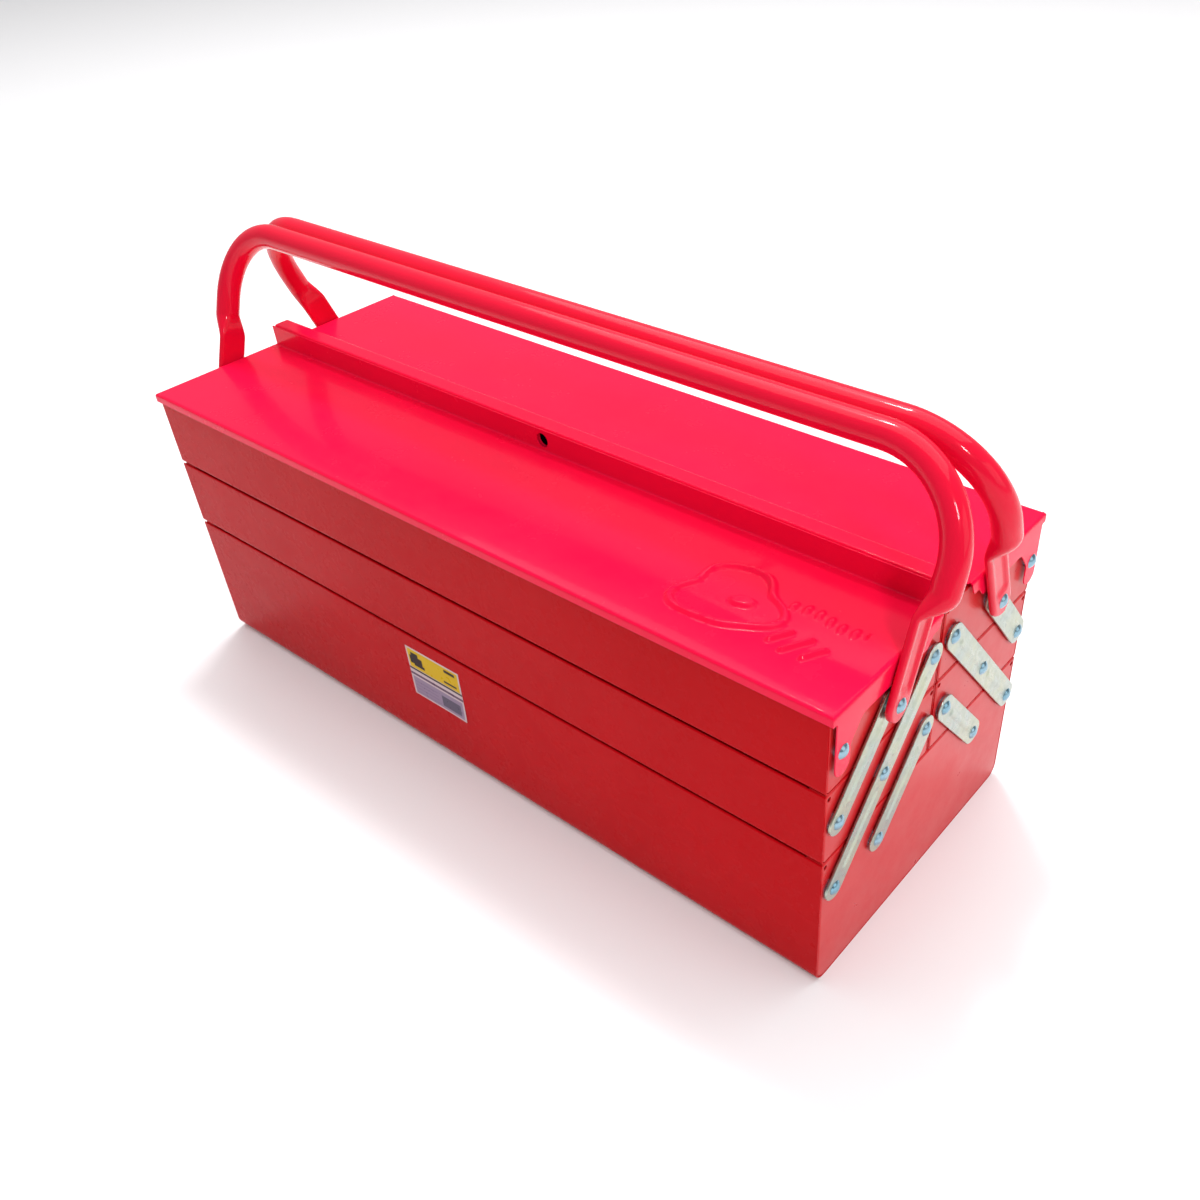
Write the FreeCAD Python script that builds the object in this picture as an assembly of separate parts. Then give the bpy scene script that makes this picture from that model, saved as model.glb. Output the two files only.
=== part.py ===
"""Cantilever steel toolbox: five compartments, two lids, two carrying handles.

The frame has its origin at the middle of the base's underside. +X runs along the
length to the right end, -Y faces the front (the side with the label) and +Z is up.
All sizes are in millimetres. The box is modelled closed.

The front and rear halves open as mirror images: each half is a parallelogram
linkage of a base, a middle tray and a top tray, joined at both ends by a long arm,
a short arm and the link that each handle is riveted to.
"""
import FreeCAD
import Part
import math
import os

os.makedirs("parts", exist_ok=True)
Vector = FreeCAD.Vector

# Folded sheet and overall size
BOX_LENGTH = 524.0          # outside of one tray end to the outside of the other
BOX_WIDTH = 198.0           # outside of the front wall to the outside of the rear wall
BASE_HEIGHT = 93.0
TRAY_PITCH = 47.0           # height added by each row of upper trays
SHEET = 0.8                 # thickness of the tray and lid steel
BASE_BEND = 8.0             # outer radius of the base's long bottom bends
TRAY_BEND = 3.0             # outer radius of the upper trays' bottom bends
ROW_GAP = 0.4               # between one row of trays and the row above
HALF_GAP = 1.0              # between the front and the rear trays
HEM_DEPTH = 8.0             # rim folded back against the inside of a long wall
HEM_GAP = 0.1
HEM_END_GAP = 1.0           # end of a hem to the end plate's folded edge
END_FLANGE = 10.0           # depth of the folded edge round each end plate
END_SETBACK = 0.1           # a wall stops this far short of the end plate's face
FLANGE_GAP = 0.05           # end plate's folded edge to the wall around it
RELIEF_RADIUS = 1.4         # corner relief holes in the end plates
RELIEF_INSET = 3.2
SMALLEST_BEND = 0.3         # inner radius of the end plates' tightest corners

# Linkage
INNER_PIVOT = 10.0          # distance of the innermost pivots from the centre plane
PIVOT_INSET = 9.0           # outermost pivots in from the trays' outer walls
PIVOT_DEPTH = 21.5          # pivots below the rim of the tray that carries them
ARM_WIDTH = 15.0
ARM_THICKNESS = 1.5
BEAD_WIDTH = 5.2            # stiffening bead pressed outwards along each arm
BEAD_HEIGHT = 0.8
BEAD_CLEAR = 12.0           # from a pivot to the end of a bead
WASHER_THICKNESS = 1.0
WASHER_RADIUS = 6.0
SHANK_RADIUS = 2.5
PIVOT_CLEARANCE = 0.05      # radial, a turning piece on its rivet
FIXED_CLEARANCE = 0.02      # radial, a rivet in the plate that it is fixed to
SIDE_CLEARANCE = 0.05       # between faces that slide on each other
HEAD_RADIUS = 4.1
HEAD_HEIGHT = 2.0
TAIL_RADIUS = 3.8
TAIL_HEIGHT = 1.5

# Lids
LID_RISE = 4.3              # top of a lid above the rim of the tray under it
LID_OVERHANG = 1.3          # lip's outer face beyond the tray wall
LIP_DEPTH = 5.8
LID_BEND = 2.0
LID_END_GAP = 2.2           # end wall of a top tray to the inside of the lid's flange
LID_SPACER_RADIUS = 4.0
LID_PIVOT_INSET = 8.0       # lid pivot in from the tray's outer wall
LOBE_RADIUS = 6.0
LOBE_DROP = 8.5             # centre of the lobe's round end below the pivot
LOBE_FILLET = 5.0
LOBE_SLOPE = 9.0            # sideways run of the edge from the lobe up to the skirt
SKIRT_DEPTH = 13.5          # end flange's skirt below the lid's underside
SKIRT_FILLET = 6.0
SKIRT_END = 14.0            # the skirt starts to rise this far from the ridge
SKIRT_END_FILLET = 4.0
NOTCH_RISE = 6.0            # shallower part of the flange beside the ridge
NOTCH_START = 9.0
NOTCH_END = 4.0
NOTCH_FILLET = 2.0
FLANGE_END_GAP = 1.0        # end flange's last corner to the ridge
RIDGE_HEIGHT = 13.7         # ridge above the lid's flat
RIDGE_END_GAP = 3.0         # the ridge stops this far short of the lid's end
FRONT_RIDGE_PLACE = 6.0     # middle of the front lid's upright flange, before the centre
RIDGE_GAP = 1.2             # between the two lids' upright flanges
RIDGE_TOP_WIDTH = 10.7      # flat top of the rear lid's ridge
RIDGE_BEND = 3.0            # outer radius of the bends at the top and foot of the ramp
CREST_BEND = 1.5            # outer radius of the bend into the rear lid's down flange
UPRIGHT_BEND = 1.0          # inner radius of the front lid's upright flange
RAMP_ANGLE = 45.0           # slope of the ridge's rear side
DOWN_FLANGE_DEPTH = 12.8
PADLOCK_RADIUS = 4.5
PADLOCK_RISE = 6.7          # hole's centre above the lid's flat
SHACKLE_WINDOW = 9.0

# Handles
TUBE_RADIUS = 7.5
TUBE_WALL = 1.2
GRIP_GAP = 0.8              # between the two grips with the box closed
GRIP_RISE = 81.7            # middle of the grips above the lids' flats
LEG_STAND_OFF = 12.5        # middle of a leg's tube beyond the tray's end plate
CORNER_RADIUS = 48.0        # centre line of the handle's upper corners
FLAT_THICKNESS = 4.0        # flattened ends of the handle tube
FLAT_WIDTH = 18.5
FLAT_TOP = 42.0             # from the rivet to where the tube starts to open out
SWELL_LENGTH = 16.0         # over which the flat opens out to the round tube
SWELL_STEP = 0.3            # each end of the swell is this much smaller than what it joins
SWELL_OVERLAP = 1.0         # length that the swell shares with the flat and with the tube
SWELL_STEPS = 6
SECTION_POINTS = 36
SPACER_THICKNESS = 1.0      # under a handle's flattened end

# Label
LABEL_LENGTH = 48.5
LABEL_HEIGHT = 39.0
LABEL_CENTRE_X = -22.7
LABEL_CENTRE_Z = 63.8
LABEL_THICKNESS = 0.25

# Places that follow from the sizes above
HALF_LENGTH = BOX_LENGTH / 2
HALF_WIDTH = BOX_WIDTH / 2
OUTER_PIVOT = HALF_WIDTH - PIVOT_INSET
MIDDLE_PIVOT = (INNER_PIVOT + OUTER_PIVOT) / 2
RIM_HEIGHTS = [BASE_HEIGHT + row * TRAY_PITCH for row in range(3)]
PIVOT_HEIGHTS = [rim - PIVOT_DEPTH for rim in RIM_HEIGHTS]
ARM_INNER_X = HALF_LENGTH + WASHER_THICKNESS + SIDE_CLEARANCE
ARM_OUTER_X = ARM_INNER_X + ARM_THICKNESS
HEAD_X = ARM_OUTER_X + SIDE_CLEARANCE
LID_PIVOT = HALF_WIDTH - LID_PIVOT_INSET
LID_TOP = RIM_HEIGHTS[2] + LID_RISE
LID_OUTER_Y = HALF_WIDTH + LID_OVERHANG
LID_FLANGE_X = HALF_LENGTH + LID_END_GAP
LID_END_X = LID_FLANGE_X + SHEET
UPRIGHT_FACE = -FRONT_RIDGE_PLACE - SHEET / 2
UPRIGHT_BACK = UPRIGHT_FACE + SHEET
DOWN_FACE = UPRIGHT_BACK + RIDGE_GAP
RIDGE_CREST = DOWN_FACE + RIDGE_TOP_WIDTH
RIDGE_FOOT = RIDGE_CREST + RIDGE_HEIGHT / math.tan(math.radians(RAMP_ANGLE))
LEG_INNER_X = HEAD_X + SPACER_THICKNESS + SIDE_CLEARANCE
LEG_OUTER_X = LEG_INNER_X + FLAT_THICKNESS
LEG_X = HALF_LENGTH + LEG_STAND_OFF
GRIP_PLACE = TUBE_RADIUS + GRIP_GAP / 2
HANDLE_RUN = MIDDLE_PIVOT - GRIP_PLACE
HANDLE_RISE = LID_TOP + GRIP_RISE - PIVOT_HEIGHTS[2]
HANDLE_LENGTH = math.hypot(HANDLE_RUN, HANDLE_RISE)
HANDLE_LEAN = math.degrees(math.atan2(HANDLE_RUN, HANDLE_RISE))
TURNING_HOLE = SHANK_RADIUS + PIVOT_CLEARANCE
FIXED_HOLE = SHANK_RADIUS + FIXED_CLEARANCE
CUT = 1.0                   # holes are cut this far beyond the metal
TINY = 1e-6


# Small tools

def unit(vector):
    """The vector's direction, as a new vector of length 1."""
    return vector * (1.0 / vector.Length)


def outline(corners):
    """Closed wire through corners given as (y, z, radius) in the plane x = 0."""
    points = [Vector(0, y, z) for y, z, radius in corners]
    arcs = []
    for index, (y, z, radius) in enumerate(corners):
        corner = points[index]
        to_last = unit(points[index - 1] - corner)
        to_next = unit(points[(index + 1) % len(points)] - corner)
        half_angle = to_last.getAngle(to_next) / 2
        reach = radius / math.tan(half_angle)
        bisector = unit(to_last + to_next)
        middle = corner + bisector * (radius / math.sin(half_angle) - radius)
        arcs.append((corner + to_last * reach, middle, corner + to_next * reach))
    edges = []
    for index, (start, middle, end) in enumerate(arcs):
        if (end - start).Length > TINY:
            edges.append(Part.Arc(start, middle, end).toShape())
        following = arcs[(index + 1) % len(arcs)][0]
        if (following - end).Length > TINY:
            edges.append(Part.LineSegment(end, following).toShape())
    return Part.Wire(edges)


def slab(corners, x_start, x_end):
    """Solid with an outline of (y, z, radius) corners, from x_start to x_end."""
    face = Part.Face(outline(corners))
    face.translate(Vector(x_start, 0, 0))
    return face.extrude(Vector(x_end - x_start, 0, 0))


def bar(radius, x_start, x_end, y, z):
    """Cylinder along X."""
    return Part.makeCylinder(radius, x_end - x_start, Vector(x_start, y, z), Vector(1, 0, 0))


def block(x_limits, y_limits, z_limits):
    """Box between three pairs of limits."""
    size = [high - low for low, high in (x_limits, y_limits, z_limits)]
    return Part.makeBox(*size, Vector(x_limits[0], y_limits[0], z_limits[0]))


def ring(outer, inner, x_start, x_end, y, z):
    """Washer with its axis along X."""
    return bar(outer, x_start, x_end, y, z).cut(bar(inner, x_start - CUT, x_end + CUT, y, z))


def to_left(shape):
    """Copy of a right-hand piece for the left end."""
    return shape.mirror(Vector(0, 0, 0), Vector(1, 0, 0))


def to_rear(shape):
    """Copy of a front piece for the rear half."""
    return shape.mirror(Vector(0, 0, 0), Vector(0, 1, 0))


def both_ends(shapes):
    """One group of separate solids: the given right-hand ones and their left copies."""
    return Part.makeCompound(shapes + [to_left(shape) for shape in shapes])


def save(name, shape):
    """Write one named piece."""
    shape.exportStep("parts/" + name + ".step")
    print(name, round(shape.Volume), "mm3", "valid" if shape.isValid() else "NOT VALID")


def save_halves(name, shape):
    """Write a front piece and its mirrored rear copy."""
    save("front_" + name, shape)
    save("rear_" + name, to_rear(shape))


# Rivets and washers

def rivet(y, z, head_x):
    """Right-hand rivet: tail inside the end plate, shank, domed head at head_x."""
    tail_x = HALF_LENGTH - SHEET
    dome_half = HEAD_RADIUS / math.sqrt(2)
    sphere = (HEAD_RADIUS ** 2 + HEAD_HEIGHT ** 2) / (2 * HEAD_HEIGHT)
    dome_rise = HEAD_HEIGHT - sphere + math.sqrt(sphere ** 2 - dome_half ** 2)
    points = [
        Vector(tail_x - TAIL_HEIGHT, 0, 0),
        Vector(tail_x - TAIL_HEIGHT, TAIL_RADIUS, 0),
        Vector(tail_x, TAIL_RADIUS, 0),
        Vector(tail_x, SHANK_RADIUS, 0),
        Vector(head_x, SHANK_RADIUS, 0),
        Vector(head_x, HEAD_RADIUS, 0),
    ]
    crown = Vector(head_x + HEAD_HEIGHT, 0, 0)
    edges = [Part.LineSegment(a, b).toShape() for a, b in zip(points, points[1:])]
    shoulder = Vector(head_x + dome_rise, dome_half, 0)
    edges.append(Part.Arc(points[-1], shoulder, crown).toShape())
    edges.append(Part.LineSegment(crown, points[0]).toShape())
    solid = Part.Face(Part.Wire(edges)).revolve(Vector(0, 0, 0), Vector(1, 0, 0), 360)
    solid.translate(Vector(0, y, z))
    return solid


def washer(y, z):
    """Right-hand washer between an end plate and an arm."""
    return ring(WASHER_RADIUS, FIXED_HOLE, HALF_LENGTH, HALF_LENGTH + WASHER_THICKNESS, y, z)


# Trays

def tray_shell(y_low, y_high, z_low, z_high, bend):
    """Folded sheet that makes a tray's floor and its two long walls."""
    end_x = HALF_LENGTH - END_SETBACK
    inner = bend - SHEET
    shell = slab([
        (y_low, z_high, 0), (y_low, z_low, bend), (y_high, z_low, bend), (y_high, z_high, 0),
        (y_high - SHEET, z_high, 0), (y_high - SHEET, z_low + SHEET, inner),
        (y_low + SHEET, z_low + SHEET, inner), (y_low + SHEET, z_high, 0),
    ], -end_x, end_x)
    hem_x = HALF_LENGTH - END_FLANGE - HEM_END_GAP
    fold = SHEET + HEM_GAP
    for y, inwards in ((y_low, 1), (y_high, -1)):
        sheet_face = y + inwards * SHEET
        hem = block((-hem_x, hem_x), sorted((sheet_face + inwards * HEM_GAP, y + inwards * (fold + SHEET))),
                    (z_high - HEM_DEPTH, z_high))
        bridge = block((-hem_x, hem_x), sorted((sheet_face, sheet_face + inwards * HEM_GAP)),
                       (z_high - SHEET, z_high))
        shell = shell.fuse([hem, bridge])
    return shell.removeSplitter()


def tray_end(y_low, y_high, z_low, z_high, bend, pivots):
    """Right-hand end plate, a pan with its edge folded inwards, drilled for its rivets."""
    inset = SHEET + FLANGE_GAP
    low, high, floor = y_low + inset, y_high - inset, z_low + inset
    radius = bend - inset
    inner_radius = max(radius - SHEET, SMALLEST_BEND)
    pan = slab([(low, z_high, 0), (low, floor, radius), (high, floor, radius), (high, z_high, 0)],
               HALF_LENGTH - END_FLANGE, HALF_LENGTH)
    low, high, floor = low + SHEET, high - SHEET, floor + SHEET
    hollow = slab([(low, z_high - SHEET, 0), (low, floor, inner_radius),
                   (high, floor, inner_radius), (high, z_high - SHEET, 0)],
                  HALF_LENGTH - END_FLANGE - CUT, HALF_LENGTH - SHEET)
    pan = pan.cut(hollow)
    drill_start = HALF_LENGTH - SHEET - CUT
    for y, z in pivots:
        pan = pan.cut(bar(FIXED_HOLE, drill_start, HALF_LENGTH + CUT, y, z))
    for y in (y_low + RELIEF_INSET, y_high - RELIEF_INSET):
        pan = pan.cut(bar(RELIEF_RADIUS, drill_start, HALF_LENGTH + CUT, y, z_high - RELIEF_INSET))
    return pan


def make_base():
    """The bottom compartment, its rivets and its label."""
    sizes = (-HALF_WIDTH, HALF_WIDTH, 0, BASE_HEIGHT, BASE_BEND)
    pivots = [(side * place, PIVOT_HEIGHTS[0]) for side in (-1, 1) for place in (OUTER_PIVOT, MIDDLE_PIVOT)]
    end = tray_end(*sizes, pivots)
    save("base_shell", tray_shell(*sizes))
    save("base_end_right", end)
    save("base_end_left", to_left(end))
    save("base_rivets", both_ends([rivet(y, z, HEAD_X) for y, z in pivots]))
    save("base_washers", both_ends([washer(y, z) for y, z in pivots]))
    save("label", block(
        (LABEL_CENTRE_X - LABEL_LENGTH / 2, LABEL_CENTRE_X + LABEL_LENGTH / 2),
        (-HALF_WIDTH - LABEL_THICKNESS, -HALF_WIDTH),
        (LABEL_CENTRE_Z - LABEL_HEIGHT / 2, LABEL_CENTRE_Z + LABEL_HEIGHT / 2)))


def upper_tray_sizes(row):
    """Limits and bend of the front tray in row 1 (middle) or 2 (top)."""
    return (-HALF_WIDTH, -HALF_GAP / 2, RIM_HEIGHTS[row - 1] + ROW_GAP, RIM_HEIGHTS[row], TRAY_BEND)


def make_middle_trays():
    """The two middle compartments and their rivets."""
    height = PIVOT_HEIGHTS[1]
    pivots = [(-place, height) for place in (OUTER_PIVOT, MIDDLE_PIVOT, INNER_PIVOT)]
    sizes = upper_tray_sizes(1)
    end = tray_end(*sizes, pivots)
    save_halves("middle_shell", tray_shell(*sizes))
    save_halves("middle_end_right", end)
    save_halves("middle_end_left", to_left(end))
    save_halves("middle_rivets", both_ends([rivet(y, z, HEAD_X) for y, z in pivots]))
    save_halves("middle_washers", both_ends([washer(y, z) for y, z in pivots]))


def make_top_trays():
    """The two top compartments, with the rivets of the arms, handles and lids."""
    height = PIVOT_HEIGHTS[2]
    sizes = upper_tray_sizes(2)
    end = tray_end(*sizes, [(-place, height) for place in (LID_PIVOT, MIDDLE_PIVOT, INNER_PIVOT)])
    save_halves("top_shell", tray_shell(*sizes))
    save_halves("top_end_right", end)
    save_halves("top_end_left", to_left(end))
    save_halves("arm_rivets", both_ends([rivet(-INNER_PIVOT, height, HEAD_X)]))
    save_halves("arm_washers", both_ends([washer(-INNER_PIVOT, height)]))
    handle_head = LEG_OUTER_X + SIDE_CLEARANCE
    save_halves("handle_rivets", both_ends([rivet(-MIDDLE_PIVOT, height, handle_head)]))
    save_halves("handle_washers", both_ends([washer(-MIDDLE_PIVOT, height)]))
    save_halves("handle_spacers", both_ends([ring(
        WASHER_RADIUS, FIXED_HOLE, HEAD_X, HEAD_X + SPACER_THICKNESS, -MIDDLE_PIVOT, height)]))
    save_halves("lid_rivets", both_ends([rivet(-LID_PIVOT, height, LID_END_X + SIDE_CLEARANCE)]))
    save_halves("lid_spacers", both_ends([ring(
        LID_SPACER_RADIUS, FIXED_HOLE, HALF_LENGTH, LID_FLANGE_X - SIDE_CLEARANCE, -LID_PIVOT, height)]))


# Arms

def strap_corners(start, end, half_width):
    """Outline corners of a round-ended strip between two (y, z) points."""
    first, last = Vector(0, *start), Vector(0, *end)
    along = unit(last - first) * half_width
    across = Vector(0, -along.z, along.y)
    corners = (first - along - across, last + along - across, last + along + across, first - along + across)
    return [(corner.y, corner.z, half_width) for corner in corners]


def strap(pivots):
    """Right-hand flat steel arm through its pivots, with a bead between each two."""
    arm = slab(strap_corners(pivots[0], pivots[-1], ARM_WIDTH / 2), ARM_INNER_X, ARM_OUTER_X)
    for start, end in zip(pivots, pivots[1:]):
        first, last = Vector(0, *start), Vector(0, *end)
        step = unit(last - first) * BEAD_CLEAR
        bead_start, bead_end = first + step, last - step
        ends = (bead_start.y, bead_start.z), (bead_end.y, bead_end.z)
        arm = arm.fuse(slab(strap_corners(*ends, BEAD_WIDTH / 2), ARM_INNER_X, ARM_OUTER_X + BEAD_HEIGHT))
        hollow_half = BEAD_WIDTH / 2 - BEAD_HEIGHT
        arm = arm.cut(slab(strap_corners(*ends, hollow_half), ARM_INNER_X - CUT, ARM_INNER_X + BEAD_HEIGHT))
    for y, z in pivots:
        arm = arm.cut(bar(TURNING_HOLE, ARM_INNER_X - CUT, ARM_OUTER_X + CUT, y, z))
    return arm


def make_arms():
    """Long arms (base to top tray) and short arms (base to middle tray)."""
    long_arm = strap([(-OUTER_PIVOT, PIVOT_HEIGHTS[0]), (-MIDDLE_PIVOT, PIVOT_HEIGHTS[1]),
                      (-INNER_PIVOT, PIVOT_HEIGHTS[2])])
    short_arm = strap([(-MIDDLE_PIVOT, PIVOT_HEIGHTS[0]), (-INNER_PIVOT, PIVOT_HEIGHTS[1])])
    save_halves("long_arm_right", long_arm)
    save_halves("long_arm_left", to_left(long_arm))
    save_halves("short_arm_right", short_arm)
    save_halves("short_arm_left", to_left(short_arm))


# Handles

def leaned(shape):
    """Turn an upright handle piece about its rivets and put it on the front trays."""
    shape.rotate(Vector(0, 0, 0), Vector(1, 0, 0), -HANDLE_LEAN)
    shape.translate(Vector(0, -MIDDLE_PIVOT, PIVOT_HEIGHTS[2]))
    return shape


def smooth(share):
    """Ease from 0 to 1 with level ends."""
    return share * share * (3 - 2 * share)


def round_ended(half_straight, radius, share):
    """Point (across, deep) at a share of the way round a round-ended section."""
    straight = 2 * half_straight
    arc = math.pi * radius
    travel = share * 2 * (straight + arc)
    sign = 1
    if travel >= straight + arc:
        travel -= straight + arc
        sign = -1
    if travel < straight:
        return sign * (half_straight - travel), sign * radius
    angle = (travel - straight) / radius
    return sign * (-half_straight - radius * math.sin(angle)), sign * radius * math.cos(angle)


def leg_section(share):
    """Section of a leg, from the flattened tube (share 0) to the round tube (share 1)."""
    blend = smooth(share)
    half_depth = FLAT_THICKNESS / 2 + blend * (TUBE_RADIUS - FLAT_THICKNESS / 2) - SWELL_STEP
    half_width = FLAT_WIDTH / 2 + blend * (TUBE_RADIUS - FLAT_WIDTH / 2) - SWELL_STEP
    middle_x = LEG_INNER_X + FLAT_THICKNESS / 2
    middle_x += blend * (LEG_X - middle_x)
    height = FLAT_TOP - SWELL_OVERLAP + share * (SWELL_LENGTH + SWELL_OVERLAP)
    points = []
    for step in range(SECTION_POINTS):
        across, deep = round_ended(half_width - half_depth, half_depth, (step + 0.5) / SECTION_POINTS)
        points.append(Vector(middle_x + deep, across, height))
    curve = Part.BSplineCurve()
    curve.interpolate(Points=points, PeriodicFlag=True)
    return Part.Wire(curve.toShape())


def handle_leg():
    """Right-hand leg of an upright handle, from its round toe to the round tube."""
    half = FLAT_WIDTH / 2
    flat = slab([(-half, -half, half), (half, -half, half), (half, FLAT_TOP, 0), (-half, FLAT_TOP, 0)],
                LEG_INNER_X, LEG_OUTER_X)
    sections = [leg_section(step / SWELL_STEPS) for step in range(SWELL_STEPS + 1)]
    return flat.fuse(Part.makeLoft(sections, True))


def handle_tube():
    """Outside and bore of an upright handle's round part: two corners and the grip."""
    radius = CORNER_RADIUS
    start = Vector(LEG_X, 0, FLAT_TOP + SWELL_LENGTH - SWELL_OVERLAP)
    lower = Vector(LEG_X, 0, HANDLE_LENGTH - radius)
    upper = Vector(LEG_X - radius, 0, HANDLE_LENGTH)
    centre = Vector(LEG_X - radius, 0, HANDLE_LENGTH - radius)
    middle = centre + Vector(1, 0, 1) * (radius / math.sqrt(2))
    flipped = [Vector(-point.x, point.y, point.z) for point in (upper, middle, lower, start)]
    path = Part.Wire([
        Part.LineSegment(start, lower).toShape(), Part.Arc(lower, middle, upper).toShape(),
        Part.LineSegment(upper, flipped[0]).toShape(), Part.Arc(flipped[0], flipped[1], flipped[2]).toShape(),
        Part.LineSegment(flipped[2], flipped[3]).toShape()])
    rod, bore = [
        path.makePipeShell([Part.Wire(Part.makeCircle(radius, start, Vector(0, 0, 1)))], True, True)
        for radius in (TUBE_RADIUS, TUBE_RADIUS - TUBE_WALL)]
    return rod, bore


def make_handles():
    """The two handle tubes and the links that they are riveted to."""
    leg = handle_leg()
    rod, bore = handle_tube()
    handle = leaned(rod.fuse([leg, to_left(leg)]).cut(bore))
    pivot = (-MIDDLE_PIVOT, PIVOT_HEIGHTS[2])
    through = LEG_OUTER_X + CUT
    save_halves("handle", handle.cut(bar(TURNING_HOLE, -through, through, *pivot)))
    link = strap([(-OUTER_PIVOT, PIVOT_HEIGHTS[1]), pivot])
    save_halves("handle_link_right", link)
    save_halves("handle_link_left", to_left(link))


# Lids

def lid_flange(inner_y):
    """Right-hand end flange of the front lid, with the lobe that hangs on the lid rivet."""
    root = LID_TOP - SHEET
    pivot_z = PIVOT_HEIGHTS[2]
    lobe_outer = -LID_PIVOT - LOBE_RADIUS
    lobe_inner = -LID_PIVOT + LOBE_RADIUS
    lobe_bottom = pivot_z - LOBE_DROP - LOBE_RADIUS
    skirt = root - SKIRT_DEPTH
    notch = skirt + NOTCH_RISE
    corners = [
        (lobe_outer, root, 0), (lobe_outer, lobe_bottom, LOBE_RADIUS), (lobe_inner, lobe_bottom, LOBE_RADIUS),
        (lobe_inner, pivot_z, LOBE_FILLET), (lobe_inner + LOBE_SLOPE, skirt, SKIRT_FILLET),
        (inner_y - SKIRT_END, skirt, SKIRT_END_FILLET), (inner_y - NOTCH_START, notch, NOTCH_FILLET),
        (inner_y - NOTCH_END, notch, NOTCH_FILLET), (inner_y - FLANGE_END_GAP, root, 0)]
    flange = slab(corners, LID_FLANGE_X, LID_END_X)
    return flange.cut(bar(TURNING_HOLE, LID_FLANGE_X - CUT, LID_END_X + CUT, -LID_PIVOT, pivot_z))


def finish_lid(sheet, flange):
    """Join a lid's long sheet to its end flanges and trim the ridge's ends."""
    lid = sheet.fuse([flange, to_left(flange)])
    ridge_end = LID_END_X - RIDGE_END_GAP
    across = (UPRIGHT_FACE - RIDGE_BEND, RIDGE_FOOT + RIDGE_BEND)
    for limits in ((ridge_end, LID_END_X + CUT), (-LID_END_X - CUT, -ridge_end)):
        lid = lid.cut(block(limits, across, (LID_TOP, LID_TOP + RIDGE_HEIGHT + CUT)))
    start = Vector(0, UPRIGHT_FACE - CUT, LID_TOP + PADLOCK_RISE)
    through = 2 * SHEET + RIDGE_GAP + 2 * CUT
    padlock = Part.makeCylinder(PADLOCK_RADIUS, through, start, Vector(0, 1, 0))
    return lid.cut(padlock).removeSplitter()


def make_lids():
    """Front lid with an upright flange, rear lid with the hollow ridge beside it."""
    top, under = LID_TOP, LID_TOP - SHEET
    ridge = top + RIDGE_HEIGHT
    lip = top - LIP_DEPTH
    outer, inner = LID_OUTER_Y, LID_OUTER_Y - SHEET
    front = slab([
        (-outer, lip, 0), (-outer, top, LID_BEND), (UPRIGHT_FACE, top, UPRIGHT_BEND),
        (UPRIGHT_FACE, ridge, 0), (UPRIGHT_BACK, ridge, 0), (UPRIGHT_BACK, under, UPRIGHT_BEND + SHEET),
        (-inner, under, LID_BEND - SHEET), (-inner, lip, 0)], -LID_END_X, LID_END_X)
    save("front_lid", finish_lid(front, lid_flange(UPRIGHT_FACE)))

    down_back = DOWN_FACE + SHEET
    down_end = ridge - DOWN_FLANGE_DEPTH
    shift = SHEET * math.tan(math.radians(RAMP_ANGLE / 2))
    rear = slab([
        (outer, lip, 0), (outer, top, LID_BEND), (RIDGE_FOOT, top, RIDGE_BEND),
        (RIDGE_CREST, ridge, RIDGE_BEND), (DOWN_FACE, ridge, CREST_BEND), (DOWN_FACE, down_end, 0),
        (down_back, down_end, 0), (down_back, ridge - SHEET, CREST_BEND - SHEET),
        (RIDGE_CREST - shift, ridge - SHEET, RIDGE_BEND - SHEET),
        (RIDGE_FOOT - shift, under, RIDGE_BEND + SHEET), (inner, under, LID_BEND - SHEET),
        (inner, lip, 0)], -LID_END_X, LID_END_X)
    rear_lid = finish_lid(rear, to_rear(lid_flange(-RIDGE_FOOT)))
    half_window = SHACKLE_WINDOW / 2
    middle = top + PADLOCK_RISE
    window = block((-half_window, half_window), (RIDGE_CREST - RIDGE_BEND, RIDGE_FOOT),
                   (middle - half_window, middle + half_window))
    save("rear_lid", rear_lid.cut(window))


make_base()
make_middle_trays()
make_top_trays()
make_arms()
make_handles()
make_lids()
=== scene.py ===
"""Looks of a five-compartment cantilever toolbox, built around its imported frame.

Every new piece is a surface worked out with numpy: a profile carried along the
box, round an outline, or along a bent tube. Sizes are in millimetres until a mesh is
made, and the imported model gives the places.
"""
import logging
import math
from dataclasses import dataclass, field
from enum import Enum
from typing import Callable, Sequence

import bmesh
import bpy
import numpy as np
from mathutils import Matrix, Vector
from mathutils.geometry import tessellate_polygon


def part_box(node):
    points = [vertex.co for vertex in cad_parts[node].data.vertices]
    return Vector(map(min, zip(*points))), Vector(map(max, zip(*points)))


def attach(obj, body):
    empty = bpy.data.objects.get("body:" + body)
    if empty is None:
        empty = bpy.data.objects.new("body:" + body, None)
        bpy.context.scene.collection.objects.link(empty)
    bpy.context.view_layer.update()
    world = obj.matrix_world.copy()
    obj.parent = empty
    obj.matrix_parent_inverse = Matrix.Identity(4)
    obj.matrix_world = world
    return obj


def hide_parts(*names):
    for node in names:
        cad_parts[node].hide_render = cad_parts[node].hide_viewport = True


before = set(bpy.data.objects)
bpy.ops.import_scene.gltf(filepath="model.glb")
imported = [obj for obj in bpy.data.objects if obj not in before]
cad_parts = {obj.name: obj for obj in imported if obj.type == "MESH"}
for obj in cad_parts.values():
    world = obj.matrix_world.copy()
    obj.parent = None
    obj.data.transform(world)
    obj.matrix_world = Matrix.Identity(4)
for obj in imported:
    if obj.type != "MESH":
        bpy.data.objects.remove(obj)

LOG = logging.getLogger("toolbox")
MM = 0.001
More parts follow.
